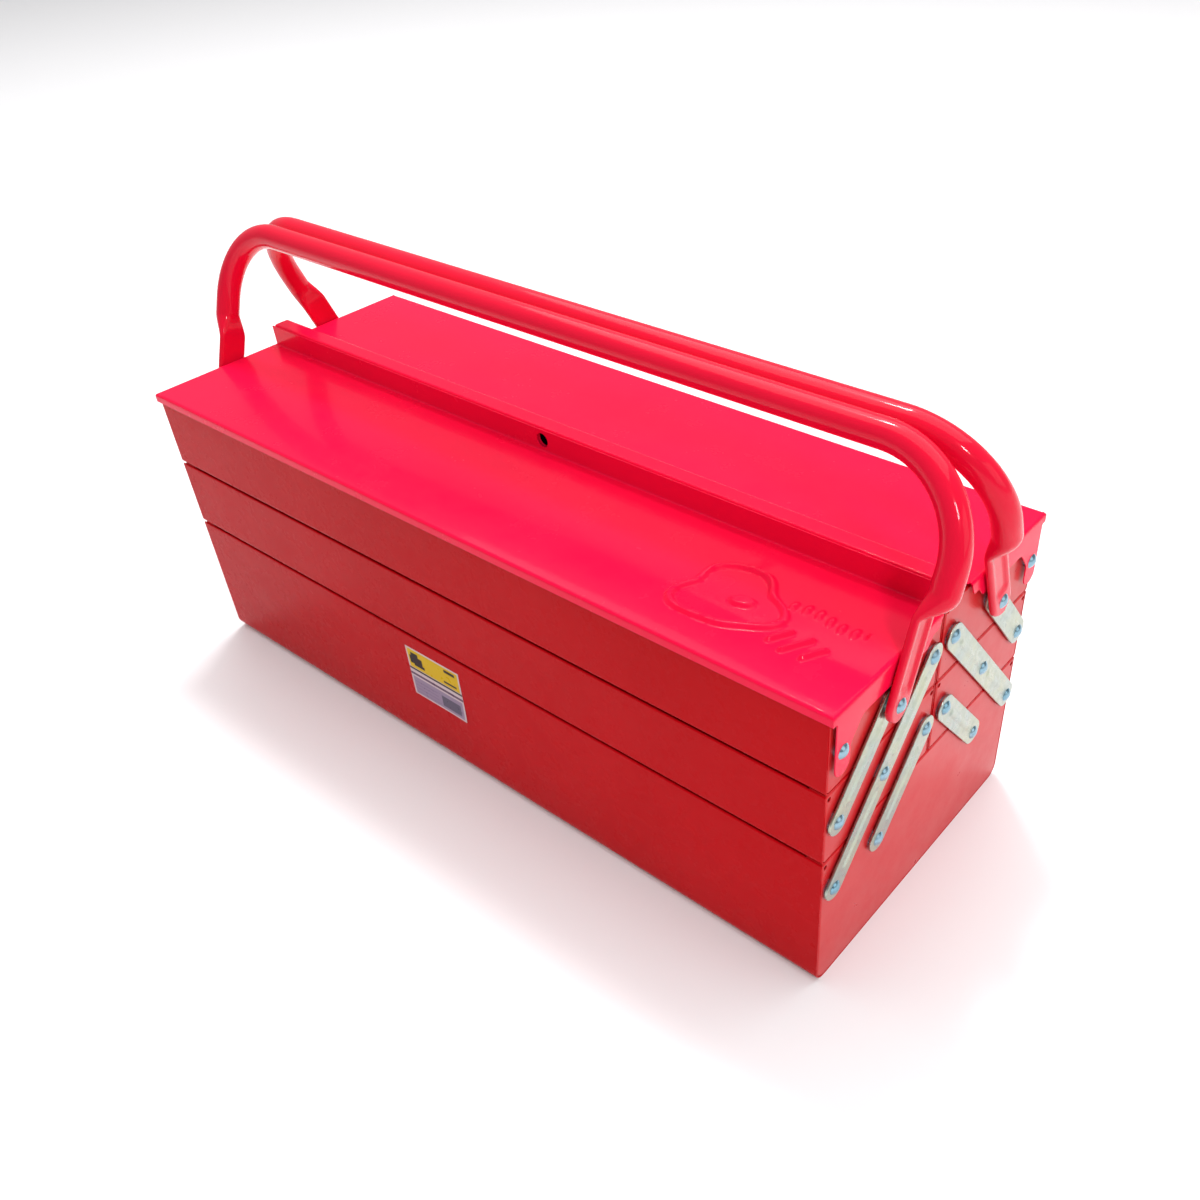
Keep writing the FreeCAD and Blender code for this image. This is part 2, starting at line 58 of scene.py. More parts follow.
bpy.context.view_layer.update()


class Half(Enum):
    """The two halves of the box that open as mirror images; the value is the sign of Y."""

    FRONT = -1
    REAR = 1

    @property
    def word(self) -> str:
        """Name that the half's pieces start with."""
        return self.name.lower()


class End(Enum):
    """The two ends of the box; the value is the sign of X."""

    LEFT = -1
    RIGHT = 1

    @property
    def word(self) -> str:
        """Name that the end's pieces finish with."""
        return self.name.lower()


class Row(Enum):
    """The rows of trays, from the ground up."""

    BASE = "base"
    MIDDLE = "middle"
    TOP = "top"


# ---------------------------------------------------------------- shapes


@dataclass
class Span:
    """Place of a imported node, in millimetres."""

    low: np.ndarray
    high: np.ndarray

    @classmethod
    def of(cls, node: str) -> "Span":
        """Read a node's box from the frame.

        Args:
            node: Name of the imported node.

        Returns:
            Its lowest and highest corners in millimetres.
        """
        low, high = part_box(node)
        return cls(np.array(low) / MM, np.array(high) / MM)


def smooth_step(share: np.ndarray) -> np.ndarray:
    """Ease from 0 to 1 with level ends: 3s^2 - 2s^3 of the clipped share."""
    share = np.clip(share, 0.0, 1.0)
    return share * share * (3 - 2 * share)


@dataclass
class Outline:
    """Closed outline of straight runs joined by tangent arcs.

    Attributes:
        corners: (n, 2) corner points, anticlockwise.
        radii: Radius of the arc at each corner.
    """

    corners: np.ndarray
    radii: np.ndarray

    @classmethod
    def of(cls, *corners: tuple[float, float, float]) -> "Outline":
        """Make an outline from (first, second, radius) corners, turned anticlockwise."""
        table = np.array(corners, float)
        first, second = table[:, 0], table[:, 1]
        area = np.sum(first * np.roll(second, -1) - np.roll(first, -1) * second)
        if area < 0:
            table = table[::-1]
        return cls(table[:, :2].copy(), table[:, 2].copy())

    @classmethod
    def strip(cls, start: np.ndarray, end: np.ndarray, half_width: float) -> "Outline":
        """Round-ended strip between two points.

        Args:
            start: Middle of the first round end.
            end: Middle of the second round end; it may be the same point, for a circle.
            half_width: Radius of both ends.

        Returns:
            The outline.
        """
        run = np.array(end, float) - np.array(start, float)
        length = np.hypot(*run)
        along = (run / length if length > 1e-9 else np.array([1.0, 0.0])) * half_width
        across = np.array([-along[1], along[0]])
        start, end = np.array(start, float), np.array(end, float)
        corners = np.array([start - along - across, end + along - across, end + along + across,
                            start - along + across])
        return cls(corners, np.full(4, half_width * 0.9999))

    def at(self, inset: float, steps: int = 8) -> np.ndarray:
        """Points of the outline moved inwards.

        Each side moves along its inward normal by the inset, neighbouring sides meet
        again at the new corner, and a convex arc's radius shrinks by the inset while a
        hollow arc's grows by it.

        Args:
            inset: Distance inwards; negative moves outwards.
            steps: Segments in each corner's arc.

        Returns:
            (m, 2) points, the same number for every inset.
        """
        runs = np.roll(self.corners, -1, 0) - self.corners
        runs = runs / np.linalg.norm(runs, axis=1, keepdims=True)
        normals = np.stack([-runs[:, 1], runs[:, 0]], 1)
        before = np.roll(normals, 1, 0)
        shared = 1 + np.sum(before * normals, 1, keepdims=True)
        moved = self.corners + inset * (before + normals) / np.maximum(shared, 1e-6)
        came = np.roll(runs, 1, 0)
        turn = np.arctan2(came[:, 0] * runs[:, 1] - came[:, 1] * runs[:, 0], np.sum(came * runs, 1))
        hollow = turn < 0
        radius = np.where(self.radii > 0, np.where(hollow, self.radii + inset, self.radii - inset), 0.0)
        radius = np.maximum(radius, 1e-4)
        reach = radius * np.tan(np.abs(turn) / 2)
        start = moved - came * reach[:, None]
        inward = np.where(hollow, -1.0, 1.0)[:, None] * np.stack([-came[:, 1], came[:, 0]], 1)
        centre = start + inward * radius[:, None]
        first = np.arctan2(*(start - centre).T[::-1])
        angle = first[:, None] + turn[:, None] * np.linspace(0, 1, steps + 1)[None, :]
        arcs = centre[:, None, :] + radius[:, None, None] * np.stack([np.cos(angle), np.sin(angle)], 2)
        return arcs.reshape(-1, 2)


def with_extra_points(loop: np.ndarray, spacing: float,
                      fine: tuple[float, float, float] | None = None) -> np.ndarray:
    """Closed loop with more points on its long straight runs.

    The loop is read by its travelled length, and points at every multiple of the
    spacing are added to the ones it has.

    Args:
        loop: (n, 2) points.
        spacing: Greatest distance between points.
        fine: A smaller spacing, kept to between two values of the first coordinate.

    Returns:
        The points, with the original ones among them.
    """
    closed = np.vstack([loop, loop[:1]])
    travel = np.concatenate([[0.0], np.cumsum(np.linalg.norm(np.diff(closed, axis=0), axis=1))])
    extra = np.arange(spacing, travel[-1], spacing)
    if fine is not None:
        close = np.arange(fine[0], travel[-1], fine[0])
        first = np.interp(close, travel, closed[:, 0])
        close = close[(first > fine[1]) & (first < fine[2])]
        outside = np.interp(extra, travel, closed[:, 0])
        extra = np.sort(np.concatenate([extra[(outside <= fine[1]) | (outside >= fine[2])], close]))
    gap = np.min(np.abs(extra[:, None] - travel[None, :]), 1)
    places = np.sort(np.concatenate([travel[:-1], extra[gap > 0.25]]))
    return np.stack([np.interp(places, travel, closed[:, axis]) for axis in (0, 1)], 1)


class Draft:
    """Surfaces in millimetres that become one mesh object."""

    def __init__(self) -> None:
        """Start with no points and no faces."""
        self.points: list[np.ndarray] = []
        self.faces: list[list[int]] = []
        self.count = 0

    def add_points(self, points: np.ndarray) -> np.ndarray:
        """Add points and return their numbers, in the points' own shape."""
        shape = points.shape[:-1]
        self.points.append(points.reshape(-1, 3))
        numbers = np.arange(self.count, self.count + int(np.prod(shape))).reshape(shape)
        self.count += numbers.size
        return numbers

    def grid(self, points: np.ndarray, wrap_columns: bool = False,
             gaps: Sequence[tuple[int, int, int, int]] = ()) -> np.ndarray:
        """Add a surface of two parameters given at a grid of points.

        Args:
            points: (rows, columns, 3) points.
            wrap_columns: Join the last column to the first.
            gaps: First and last row, first and last column of each rectangle left open.

        Returns:
            The grid of point numbers.
        """
        numbers = self.add_points(points)
        table = np.hstack([numbers, numbers[:, :1]]) if wrap_columns else numbers
        quads = np.stack([table[:-1, :-1], table[1:, :-1], table[1:, 1:], table[:-1, 1:]], -1)
        kept = np.ones(quads.shape[:2], bool)
        for row, last_row, column, last_column in gaps:
            kept[row:last_row, column:last_column] = False
        self.faces.extend(quads[kept].tolist())
        return numbers

    def fill(self, *loops: np.ndarray) -> None:
        """Fill a flat area bounded by loops of point numbers: the first outside, the rest holes."""
        cloud = np.vstack(self.points)
        numbers = np.concatenate(loops)
        polygon = [[Vector(point) for point in cloud[loop]] for loop in loops]
        for triangle in tessellate_polygon(polygon):
            self.faces.append([int(numbers[corner]) for corner in triangle])

    def sweep(self, loops: np.ndarray, gaps: Sequence[tuple[int, int, int, int]] = ()) -> np.ndarray:
        """Skin a row of closed loops and close both ends.

        Args:
            loops: (stations, points, 3) matching loops, one for each place along the path.
            gaps: Rectangles of the grid left open.

        Returns:
            The grid of point numbers.
        """
        numbers = self.grid(loops, True, gaps)
        self.fill(numbers[0])
        self.fill(numbers[-1])
        return numbers

    def finish(self, name: str, weld: float = 2e-3, crease: float = 35.0) -> bpy.types.Object:
        """Make the mesh object, in metres.

        Args:
            name: Name of the piece.
            weld: Points nearer than this, in millimetres, become one.
            crease: Edges that turn by more than this angle stay sharp.

        Returns:
            The object, at the origin, with its faces pointing outwards.
        """
        mesh = bpy.data.meshes.new(name)
        mesh.from_pydata((np.vstack(self.points) * MM).tolist(), [], self.faces)
        shape = bmesh.new()
        shape.from_mesh(mesh)
        bmesh.ops.remove_doubles(shape, verts=shape.verts, dist=weld * MM)
        bmesh.ops.dissolve_degenerate(shape, dist=weld * MM * 0.1, edges=shape.edges)
        bmesh.ops.recalc_face_normals(shape, faces=shape.faces)
        shape.to_mesh(mesh)
        shape.free()
        mesh.polygons.foreach_set("use_smooth", np.ones(len(mesh.polygons), bool))
        mesh.set_sharp_from_angle(angle=math.radians(crease))
        piece = bpy.data.objects.new(name, mesh)
        bpy.context.scene.collection.objects.link(piece)
        even = piece.modifiers.new("even_light", "WEIGHTED_NORMAL")
        even.keep_sharp = True
        return piece


def plate(draft: Draft, outline: Outline, rim: Sequence[tuple[float, float]],
          place: Callable[[np.ndarray, float], np.ndarray], holes: Sequence[Outline] = (),
          beads: Sequence[tuple[Outline, float]] = (), steps: int = 8) -> None:
    """Flat plate: a rim profile carried round its outline, with holes and raised beads.

    Args:
        draft: Where the surfaces go.
        outline: Outside of the plate, in the plate's own plane.
        rim: (inset, depth) points, from the front face round the edge to the back face.
        place: Puts (n, 2) plate points at a depth below the front face into space.
        holes: Round or shaped holes with slightly broken edges.
        beads: (outline, height) of each bead pressed out of the front face.
        steps: Segments in each corner's arc.
    """
    loops = np.stack([place(outline.at(inset, steps), depth) for inset, depth in rim])
    edge = draft.grid(loops, wrap_columns=True)
    front, back = [edge[0]], [edge[-1]]
    back_depth = rim[-1][1]
    bevel = 0.15
    for hole in holes:
        wall = np.stack([place(hole.at(-bevel), 0.0), place(hole.at(0), bevel),
                         place(hole.at(0), back_depth - bevel), place(hole.at(-bevel), back_depth)])
        numbers = draft.grid(wall, wrap_columns=True)
        front.append(numbers[0])
        back.append(numbers[-1])
    for bead, height in beads:
        share = np.linspace(0, 1, 7)
        half_width = np.min(bead.radii)
        insets = share * half_width * 0.96
        rises = height * np.sin(share * math.pi / 2) ** 1.5
        rising = np.stack([place(bead.at(inset), -rise) for inset, rise in zip(insets, rises)])
        numbers = draft.grid(rising, wrap_columns=True)
        front.append(numbers[0])
        draft.fill(numbers[-1])
    draft.fill(*front)
    draft.fill(*back)


def round_edge(radius: float, thickness: float, steps: int = 3) -> list[tuple[float, float]]:
    """Rim profile of a sheet whose two edges are rounded by quarter circles."""
    angles = np.linspace(0, math.pi / 2, steps + 1)
    front = [(radius - radius * math.sin(a), radius - radius * math.cos(a)) for a in angles]
    return front + [(inset, thickness - depth) for inset, depth in front[::-1]]


# ---------------------------------------------------------------- finishes


class Nodes:
    """Short way to build a node material around one Principled shader."""

    def __init__(self, name: str) -> None:
        """Make an empty node material.

        Args:
            name: Name of the finish.
        """
        self.material = bpy.data.materials.new(name)
        self.material.use_nodes = True
        self.tree = self.material.node_tree
        self.shader = self.tree.nodes["Principled BSDF"]
        self.place = self.add("ShaderNodeTexCoord").outputs["Object"]

    def add(self, kind: str, **values: object) -> bpy.types.Node:
        """Add a node and set its own properties by name."""
        node = self.tree.nodes.new(kind)
        for key, value in values.items():
            setattr(node, key, value)
        return node

    def link(self, source: bpy.types.NodeSocket, target: bpy.types.NodeSocket) -> None:
        """Join an output to an input."""
        self.tree.links.new(source, target)

    def noise(self, scale: float, detail: float = 2.0, stretch: tuple[float, float, float] = (1, 1, 1),
              roughness: float = 0.5) -> bpy.types.NodeSocket:
        """Noise in the object's own coordinates.

        Args:
            scale: Lumps per metre, roughly.
            detail: Finer layers added on top.
            stretch: Scale factors along X, Y and Z.
            roughness: Strength of the finer layers.

        Returns:
            The value between 0 and 1.
        """
        mapping = self.add("ShaderNodeMapping")
        mapping.inputs["Scale"].default_value = stretch
        self.link(self.place, mapping.inputs["Vector"])
        node = self.add("ShaderNodeTexNoise")
        node.inputs["Scale"].default_value = scale
        node.inputs["Detail"].default_value = detail
        node.inputs["Roughness"].default_value = roughness
        self.link(mapping.outputs["Vector"], node.inputs["Vector"])
        return node.outputs["Fac"]

    def ranged(self, value: bpy.types.NodeSocket, low: float, high: float, start: float = 0.3,
               end: float = 0.7) -> bpy.types.NodeSocket:
        """Map a value from start..end to low..high."""
        node = self.add("ShaderNodeMapRange")
        for key, number in (("From Min", start), ("From Max", end), ("To Min", low), ("To Max", high)):
            node.inputs[key].default_value = number
        self.link(value, node.inputs["Value"])
        return node.outputs["Result"]

    def blend(self, share: bpy.types.NodeSocket, first: object, second: object) -> bpy.types.NodeSocket:
        """Mix two colours; each is an RGB triple or another node's output."""
        node = self.add("ShaderNodeMix", data_type="RGBA")
        self.link(share, node.inputs["Factor"])
        for key, colour in (("A", first), ("B", second)):
            socket = next(s for s in node.inputs if s.name == key and s.type == "RGBA")
            if isinstance(colour, bpy.types.NodeSocket):
                self.link(colour, socket)
            else:
                socket.default_value = (*colour, 1)
        return next(s for s in node.outputs if s.type == "RGBA")

    def bump(self, height: bpy.types.NodeSocket, distance: float,
             below: bpy.types.NodeSocket | None = None) -> bpy.types.NodeSocket:
        """Bump of a height value, over an earlier bump if one is given."""
        node = self.add("ShaderNodeBump")
        node.inputs["Strength"].default_value = 1.0
        node.inputs["Distance"].default_value = distance
        self.link(height, node.inputs["Height"])
        if below is not None:
            self.link(below, node.inputs["Normal"])
        return node.outputs["Normal"]

    def set(self, **values: float) -> None:
        """Set shader sockets that are the same all over; underscores stand for spaces."""
        for key, value in values.items():
            self.shader.inputs[key.replace("_", " ")].default_value = value


@dataclass(frozen=True)
class Enamel:
    """Sprayed gloss enamel on sheet steel."""

    name: str
    colour: tuple[float, float, float]
    deep: tuple[float, float, float]
    roughness: float = 0.30
    level: float = 0.35
    tint: tuple[float, float, float] = (1.0, 0.14, 0.18)
    coat: float = 0.10
    peel: float = 0.00001
    sway: float = 0.0010

    def make(self) -> bpy.types.Material:
        """Build the paint: tone drifts, orange peel and slow waves in the sheet."""
        nodes = Nodes(self.name)
        drift = nodes.noise(7.0, 3.0)
        colour = nodes.blend(nodes.ranged(drift, 0.0, 1.0), self.deep, self.colour)
        nodes.link(colour, nodes.shader.inputs["Base Color"])
        haze = nodes.noise(40.0, 4.0, (1, 1, 1), 0.7)
        nodes.link(nodes.ranged(haze, self.roughness - 0.05, self.roughness + 0.08),
                   nodes.shader.inputs["Roughness"])
        waves = nodes.bump(nodes.noise(9.0, 1.0, (0.5, 1, 1)), self.sway)
        surface = nodes.bump(nodes.noise(420.0, 1.0), self.peel, waves)
        nodes.link(surface, nodes.shader.inputs["Normal"])
        nodes.link(surface, nodes.shader.inputs["Coat Normal"])
        nodes.set(IOR=1.5, Specular_IOR_Level=self.level, Coat_Weight=self.coat, Coat_Roughness=0.05)
        nodes.shader.inputs["Specular Tint"].default_value = (*self.tint, 1)
        return nodes.material


@dataclass(frozen=True)
class Zinc:
    """Zinc plate on steel, with the passivated layer's faint tints."""

    name: str
    colour: tuple[float, float, float]
    tint: tuple[float, float, float]
    roughness: float = 0.34
    grain: tuple[float, float, float] = (1, 1, 1)

    def make(self) -> bpy.types.Material:
        """Build the metal: tint clouds, rolling grain and handling marks."""
        nodes = Nodes(self.name)
        cloud = nodes.noise(55.0, 3.0)
        colour = nodes.blend(nodes.ranged(cloud, 0.0, 1.0, 0.35, 0.65), self.colour, self.tint)
        spots = nodes.noise(260.0, 2.0)
        dull = tuple(0.8 * c for c in self.colour)
        colour = nodes.blend(nodes.ranged(spots, 0.0, 0.6, 0.55, 0.75), colour, dull)
        nodes.link(colour, nodes.shader.inputs["Base Color"])
        marks = nodes.noise(220.0, 3.0, self.grain, 0.6)
        nodes.link(nodes.ranged(marks, self.roughness - 0.08, self.roughness + 0.12),
                   nodes.shader.inputs["Roughness"])
        surface = nodes.bump(marks, 0.00003)
        nodes.link(surface, nodes.shader.inputs["Normal"])
        nodes.set(Metallic=1.0)
        return nodes.material


@dataclass(frozen=True)
class FloorPaint:
    """Plain pale floor."""

    colour: tuple[float, float, float] = (0.86, 0.86, 0.87)

    def make(self) -> bpy.types.Material:
        """Build a matt pale surface with a barely seen variation."""
        nodes = Nodes("pale_floor")
        cloud = nodes.noise(1.5, 2.0)
        near = tuple(0.985 * c for c in self.colour)
        nodes.link(nodes.blend(cloud, near, self.colour), nodes.shader.inputs["Base Color"])
        nodes.set(Roughness=0.8)
        return nodes.material


@dataclass(frozen=True)
class PrintedFilm:
    """Printed sticker with a yellow heading and a pale panel, and no lettering."""

    low: tuple[float, float]
    size: tuple[float, float]

    def make(self) -> bpy.types.Material:
        """Build the print from the label's own width and height coordinates."""
        nodes = Nodes("label_print")
        split = nodes.add("ShaderNodeSeparateXYZ")
        nodes.link(nodes.place, split.inputs["Vector"])
        (left, floor), (right, top) = self.low, (self.low[0] + self.size[0], self.low[1] + self.size[1])
        across = nodes.ranged(split.outputs["X"], 0.0, 1.0, left * MM, right * MM)
        up = nodes.ranged(split.outputs["Z"], 0.0, 1.0, floor * MM, top * MM)
        yellow, ink, pale = (0.66, 0.42, 0.002), (0.02, 0.008, 0.01), (0.62, 0.50, 0.52)
        panel, shade, rule = (0.30, 0.22, 0.32), (0.11, 0.09, 0.14), (0.12, 0.05, 0.10)
        colour = nodes.blend(self.patch(nodes, across, up, (0.50, 0.21), (0.47, 0.18)), pale, panel)
        colour = nodes.blend(self.patch(nodes, across, up, (0.50, 0.45), (0.50, 0.025)), colour, rule)
        colour = nodes.blend(self.patch(nodes, across, up, (0.50, 0.56), (0.50, 0.02)), colour, ink)
        colour = nodes.blend(self.patch(nodes, across, up, (0.50, 0.78), (0.475, 0.19)), colour, yellow)
        marks = ((0.17, 0.76, 0.12, 0.08), (0.15, 0.86, 0.07, 0.05), (0.22, 0.68, 0.10, 0.03),
                 (0.82, 0.90, 0.10, 0.03), (0.80, 0.66, 0.12, 0.02))
        for x, z, half_x, half_z in marks:
            colour = nodes.blend(self.patch(nodes, across, up, (x, z), (half_x, half_z)), colour, ink)
        colour = nodes.blend(self.patch(nodes, across, up, (0.74, 0.19), (0.18, 0.11)), colour, shade)
        rows = nodes.add("ShaderNodeTexWave", wave_type="BANDS", bands_direction="Z")
        rows.inputs["Scale"].default_value = 110.0
        rows.inputs["Distortion"].default_value = 0.0
        nodes.link(nodes.place, rows.inputs["Vector"])
        lines = nodes.ranged(rows.outputs["Fac"], 0.0, 0.35, 0.55, 0.75)
        gate = nodes.add("ShaderNodeMath", operation="MULTIPLY")
        nodes.link(lines, gate.inputs[0])
        nodes.link(self.patch(nodes, across, up, (0.27, 0.2), (0.22, 0.14)), gate.inputs[1])
        colour = nodes.blend(gate.outputs["Value"], colour, (0.15, 0.10, 0.18))
        nodes.link(colour, nodes.shader.inputs["Base Color"])
        wear = nodes.noise(300.0, 3.0)
        nodes.link(nodes.ranged(wear, 0.25, 0.40), nodes.shader.inputs["Roughness"])
        nodes.set(Specular_IOR_Level=0.12)
        nodes.link(nodes.bump(wear, 0.00003), nodes.shader.inputs["Normal"])
        return nodes.material

    @staticmethod
    def band(nodes: Nodes, value: bpy.types.NodeSocket, low: float, high: float) -> bpy.types.NodeSocket:
        """1 where the value lies between low and high, with soft sides."""
        soft = 0.006
        rise = nodes.ranged(value, 0.0, 1.0, low - soft, low + soft)
        fall = nodes.ranged(value, 1.0, 0.0, high - soft, high + soft)
        gate = nodes.add("ShaderNodeMath", operation="MULTIPLY")
        nodes.link(rise, gate.inputs[0])
        nodes.link(fall, gate.inputs[1])
        return gate.outputs["Value"]

    @classmethod
    def patch(cls, nodes: Nodes, across: bpy.types.NodeSocket, up: bpy.types.NodeSocket,
              middle: tuple[float, float], half: tuple[float, float]) -> bpy.types.NodeSocket:
        """1 inside a rectangle given by its middle and half sizes."""
        gate = nodes.add("ShaderNodeMath", operation="MULTIPLY")
        nodes.link(cls.band(nodes, across, middle[0] - half[0], middle[0] + half[0]), gate.inputs[0])
        nodes.link(cls.band(nodes, up, middle[1] - half[1], middle[1] + half[1]), gate.inputs[1])
        return gate.outputs["Value"]


@dataclass
class Finishes:
    """The finishes that the pieces share. The tray, end and lid reds are copies of one enamel: painted shade
    on the trays, painted light on the ends and lid.
    """

    # Painted shade: the trays' red is a darker copy of the enamel on the lid and ends, standing for the dim
    # light on the upright walls.
    tray: bpy.types.Material = field(default_factory=lambda: Enamel(
        "red_tray", (0.53, 0.003, 0.007), (0.47, 0.002, 0.005), roughness=0.26, level=0.05,
        tint=(1.0, 0.10, 0.12), coat=0.02).make())
    # Painted light: the end plates' red is a lighter, greyer copy of the same enamel, standing for the light
    # from the right-hand side.
    end: bpy.types.Material = field(default_factory=lambda: Enamel(
        "red_end", (0.60, 0.016, 0.020), (0.54, 0.011, 0.014), roughness=0.32, level=0.36,
        tint=(1.0, 0.30, 0.28), coat=0.08).make())
    # Painted light: the lid's red is a brighter, pinker copy of the same enamel, standing for the light and
    # pale sheen on the top.
    lid: bpy.types.Material = field(default_factory=lambda: Enamel(
        "red_lid", (0.90, 0.005, 0.056), (0.85, 0.004, 0.048), roughness=0.22, level=0.12,
        coat=0.15).make())
    handle: bpy.types.Material = field(default_factory=lambda: Enamel(
        "red_handle", (0.74, 0.004, 0.034), (0.68, 0.003, 0.028), roughness=0.20, level=0.20, coat=0.35,
        sway=0.0002).make())
    strap: bpy.types.Material = field(default_factory=lambda: Zinc(
        "zinc_strap", (0.40, 0.46, 0.42), (0.47, 0.50, 0.38), roughness=0.30).make())
    rivet: bpy.types.Material = field(default_factory=lambda: Zinc(
        "zinc_rivet", (0.20, 0.38, 0.48), (0.32, 0.46, 0.54), roughness=0.22).make())


def dress(piece: bpy.types.Object, material: bpy.types.Material, slot: str, body: str, *nodes: str) -> None:
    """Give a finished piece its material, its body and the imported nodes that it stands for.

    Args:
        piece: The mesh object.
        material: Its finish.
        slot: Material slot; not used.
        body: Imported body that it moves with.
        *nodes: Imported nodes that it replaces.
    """
    piece.data.materials.clear()
    piece.data.materials.append(material)
    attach(piece, body)
    if nodes:
        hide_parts(*nodes)
    LOG.info("%s: %d faces on %s", piece.name, len(piece.data.polygons), body)


# ---------------------------------------------------------------- trays


@dataclass
class Tray:
    """One compartment: a folded shell and a pan-shaped plate at each end.

    Attributes:
        row: Which row of trays it belongs to.
        half: Front or rear; the base, which spans both, has None.
        sheet: Thickness of the steel.
        bend: Outer radius of the two long bottom bends.
    """

    row: Row
    half: Half | None
    sheet: float = 0.8
    bend: float = 3.0
    hem_depth: float = 8.0
    hem_setback: float = 11.0
    hem_step: float = 0.4
    spacing: float = 9.0
    fold_radius: float = 1.1
    broken_edge: float = 0.3
    rim_corner: float = 1.5
    burr: float = 0.2
    relief_radius: float = 1.4
    relief_drop: float = 3.2
    plate_gap: float = 0.85
    wave: float = 0.12

    @property
    def stem(self) -> str:
        """Start of the names of this tray's nodes."""
        return "base" if self.half is None else f"{self.half.word}_{self.row.value}"

    @property
    def body(self) -> str:
        """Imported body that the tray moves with."""
        return "base" if self.half is None else f"{self.stem}_tray"

    def profile(self, span: Span) -> Outline:
        """Section of the folded shell: floor, two walls and their hemmed rims."""
        (low, floor), (high, rim) = span.low[1:], span.high[1:]
        sheet, double = self.sheet, 2 * self.sheet
        inner = self.bend - sheet
        lip = self.sheet * 0.98
        hem_end = rim - self.hem_depth
        return Outline.of(
            (low, floor, self.bend), (high, floor, self.bend),
            (high, rim, lip), (high - double, rim, lip * 0.99),
            (high - double, hem_end, self.broken_edge), (high - sheet, hem_end, 0),
            (high - sheet, floor + sheet, inner), (low + sheet, floor + sheet, inner),
            (low + sheet, hem_end, 0), (low + double, hem_end, self.broken_edge),
            (low + double, rim, lip * 0.99), (low, rim, lip))

    def shell(self) -> bpy.types.Object:
        """Carry the section along the box, with faint waves in the long walls.

        A wall point moves outwards by wave * sin(up) * sin(along), times one plus half
        of a slow sum of two sines. It is nothing near the rim, at the bend and at both ends.
        """
        node = f"{self.stem}_shell"
        span = Span.of(node)
        loop = with_extra_points(self.profile(span).at(0.0, 6), self.spacing)
        half_length = span.high[0]
        hem_end = half_length - self.hem_setback
        inner = np.linspace(-hem_end + 6, hem_end - 6, 47)
        past_hem = hem_end + self.hem_step
        stations = np.concatenate([[-half_length, -past_hem, -hem_end], inner,
                                   [hem_end, past_hem, half_length]])
        x, y, z = (np.broadcast_to(values, (len(stations), len(loop))).copy()
                   for values in (stations[:, None], loop[None, :, 0], loop[None, :, 1]))
        low, high = span.low[1], span.high[1]
        cut = (np.abs(x) > hem_end + self.hem_step / 2) & (z > span.high[2] - self.hem_depth - 0.5)
        inner_low, inner_high = low + self.sheet, high - self.sheet
        y = np.where(cut, np.clip(y, None, np.where(y > (low + high) / 2, high, inner_low)), y)
        y = np.where(cut, np.clip(y, np.where(y < (low + high) / 2, low, inner_high), None), y)
        share = np.clip((z - span.low[2] - self.bend) / (span.high[2] - span.low[2] - self.bend - 6), 0, 1)
        swell = np.sin(math.pi * share) * np.sin(math.pi * (x / half_length + 1) / 2)
        near_wall = np.minimum(y - low, high - y) < self.sheet * 1.5
        drift = np.sin(x / 71.0 + span.low[2]) + 0.6 * np.sin(x / 33.0 + 1.3 * span.low[2])
        y = y - np.where(near_wall, self.wave * swell * (1 + 0.5 * drift) * np.sign(y - (low + high) / 2), 0)
        draft = Draft()
        draft.sweep(np.stack([x, y, z], -1))
        return draft.finish(f"{self.stem}_folded_shell")

    def end_plate(self, end: End) -> bpy.types.Object:
        """Pan pressed from one sheet: its face, its rounded fold and its inward edge."""
        node = f"{self.stem}_end_{end.word}"
        span = Span.of(node)
        face_x = max(abs(span.low[0]), abs(span.high[0]))
        depth = span.high[0] - span.low[0]
        (low, floor), (high, rim) = span.low[1:], span.high[1:]
        corner = max(self.bend - self.sheet, self.rim_corner)
        outline = Outline.of((low, rim, self.rim_corner), (low, floor, corner), (high, floor, corner),
                             (high, rim, self.rim_corner))
        angles = np.linspace(0, math.pi / 2, 5)
        radius, inner = self.fold_radius, self.fold_radius - self.sheet
        rim_profile = [(radius - radius * math.sin(a), radius - radius * math.cos(a)) for a in angles]
        rim_profile += [(0.0, depth - self.burr), (self.burr, depth),
                        (self.sheet - self.burr, depth), (self.sheet, depth - self.burr)]
        rim_profile += [(radius - inner * math.sin(a), radius - inner * math.cos(a)) for a in angles[::-1]]
        inset = self.relief_drop - self.plate_gap
        spots = [np.array([y, rim - self.relief_drop]) for y in (low + inset, high - inset)]
        holes = [Outline.strip(spot, spot, self.relief_radius) for spot in spots]

        def put(points: np.ndarray, deep: float) -> np.ndarray:
            """Stand the plate's points upright across the end of the box."""
            return np.column_stack([np.full(len(points), end.value * (face_x - deep)), points])

        draft = Draft()
        plate(draft, outline, rim_profile, put, holes)
        return draft.finish(f"{self.stem}_end_plate_{end.word}")

    def build(self, finishes: Finishes) -> None:
        """Make and dress the shell and both end plates."""
        dress(self.shell(), finishes.tray, "red_tray", self.body, f"{self.stem}_shell")
        for end in End:
            dress(self.end_plate(end), finishes.end, "red_end", self.body, f"{self.stem}_end_{end.word}")


# ---------------------------------------------------------------- lids


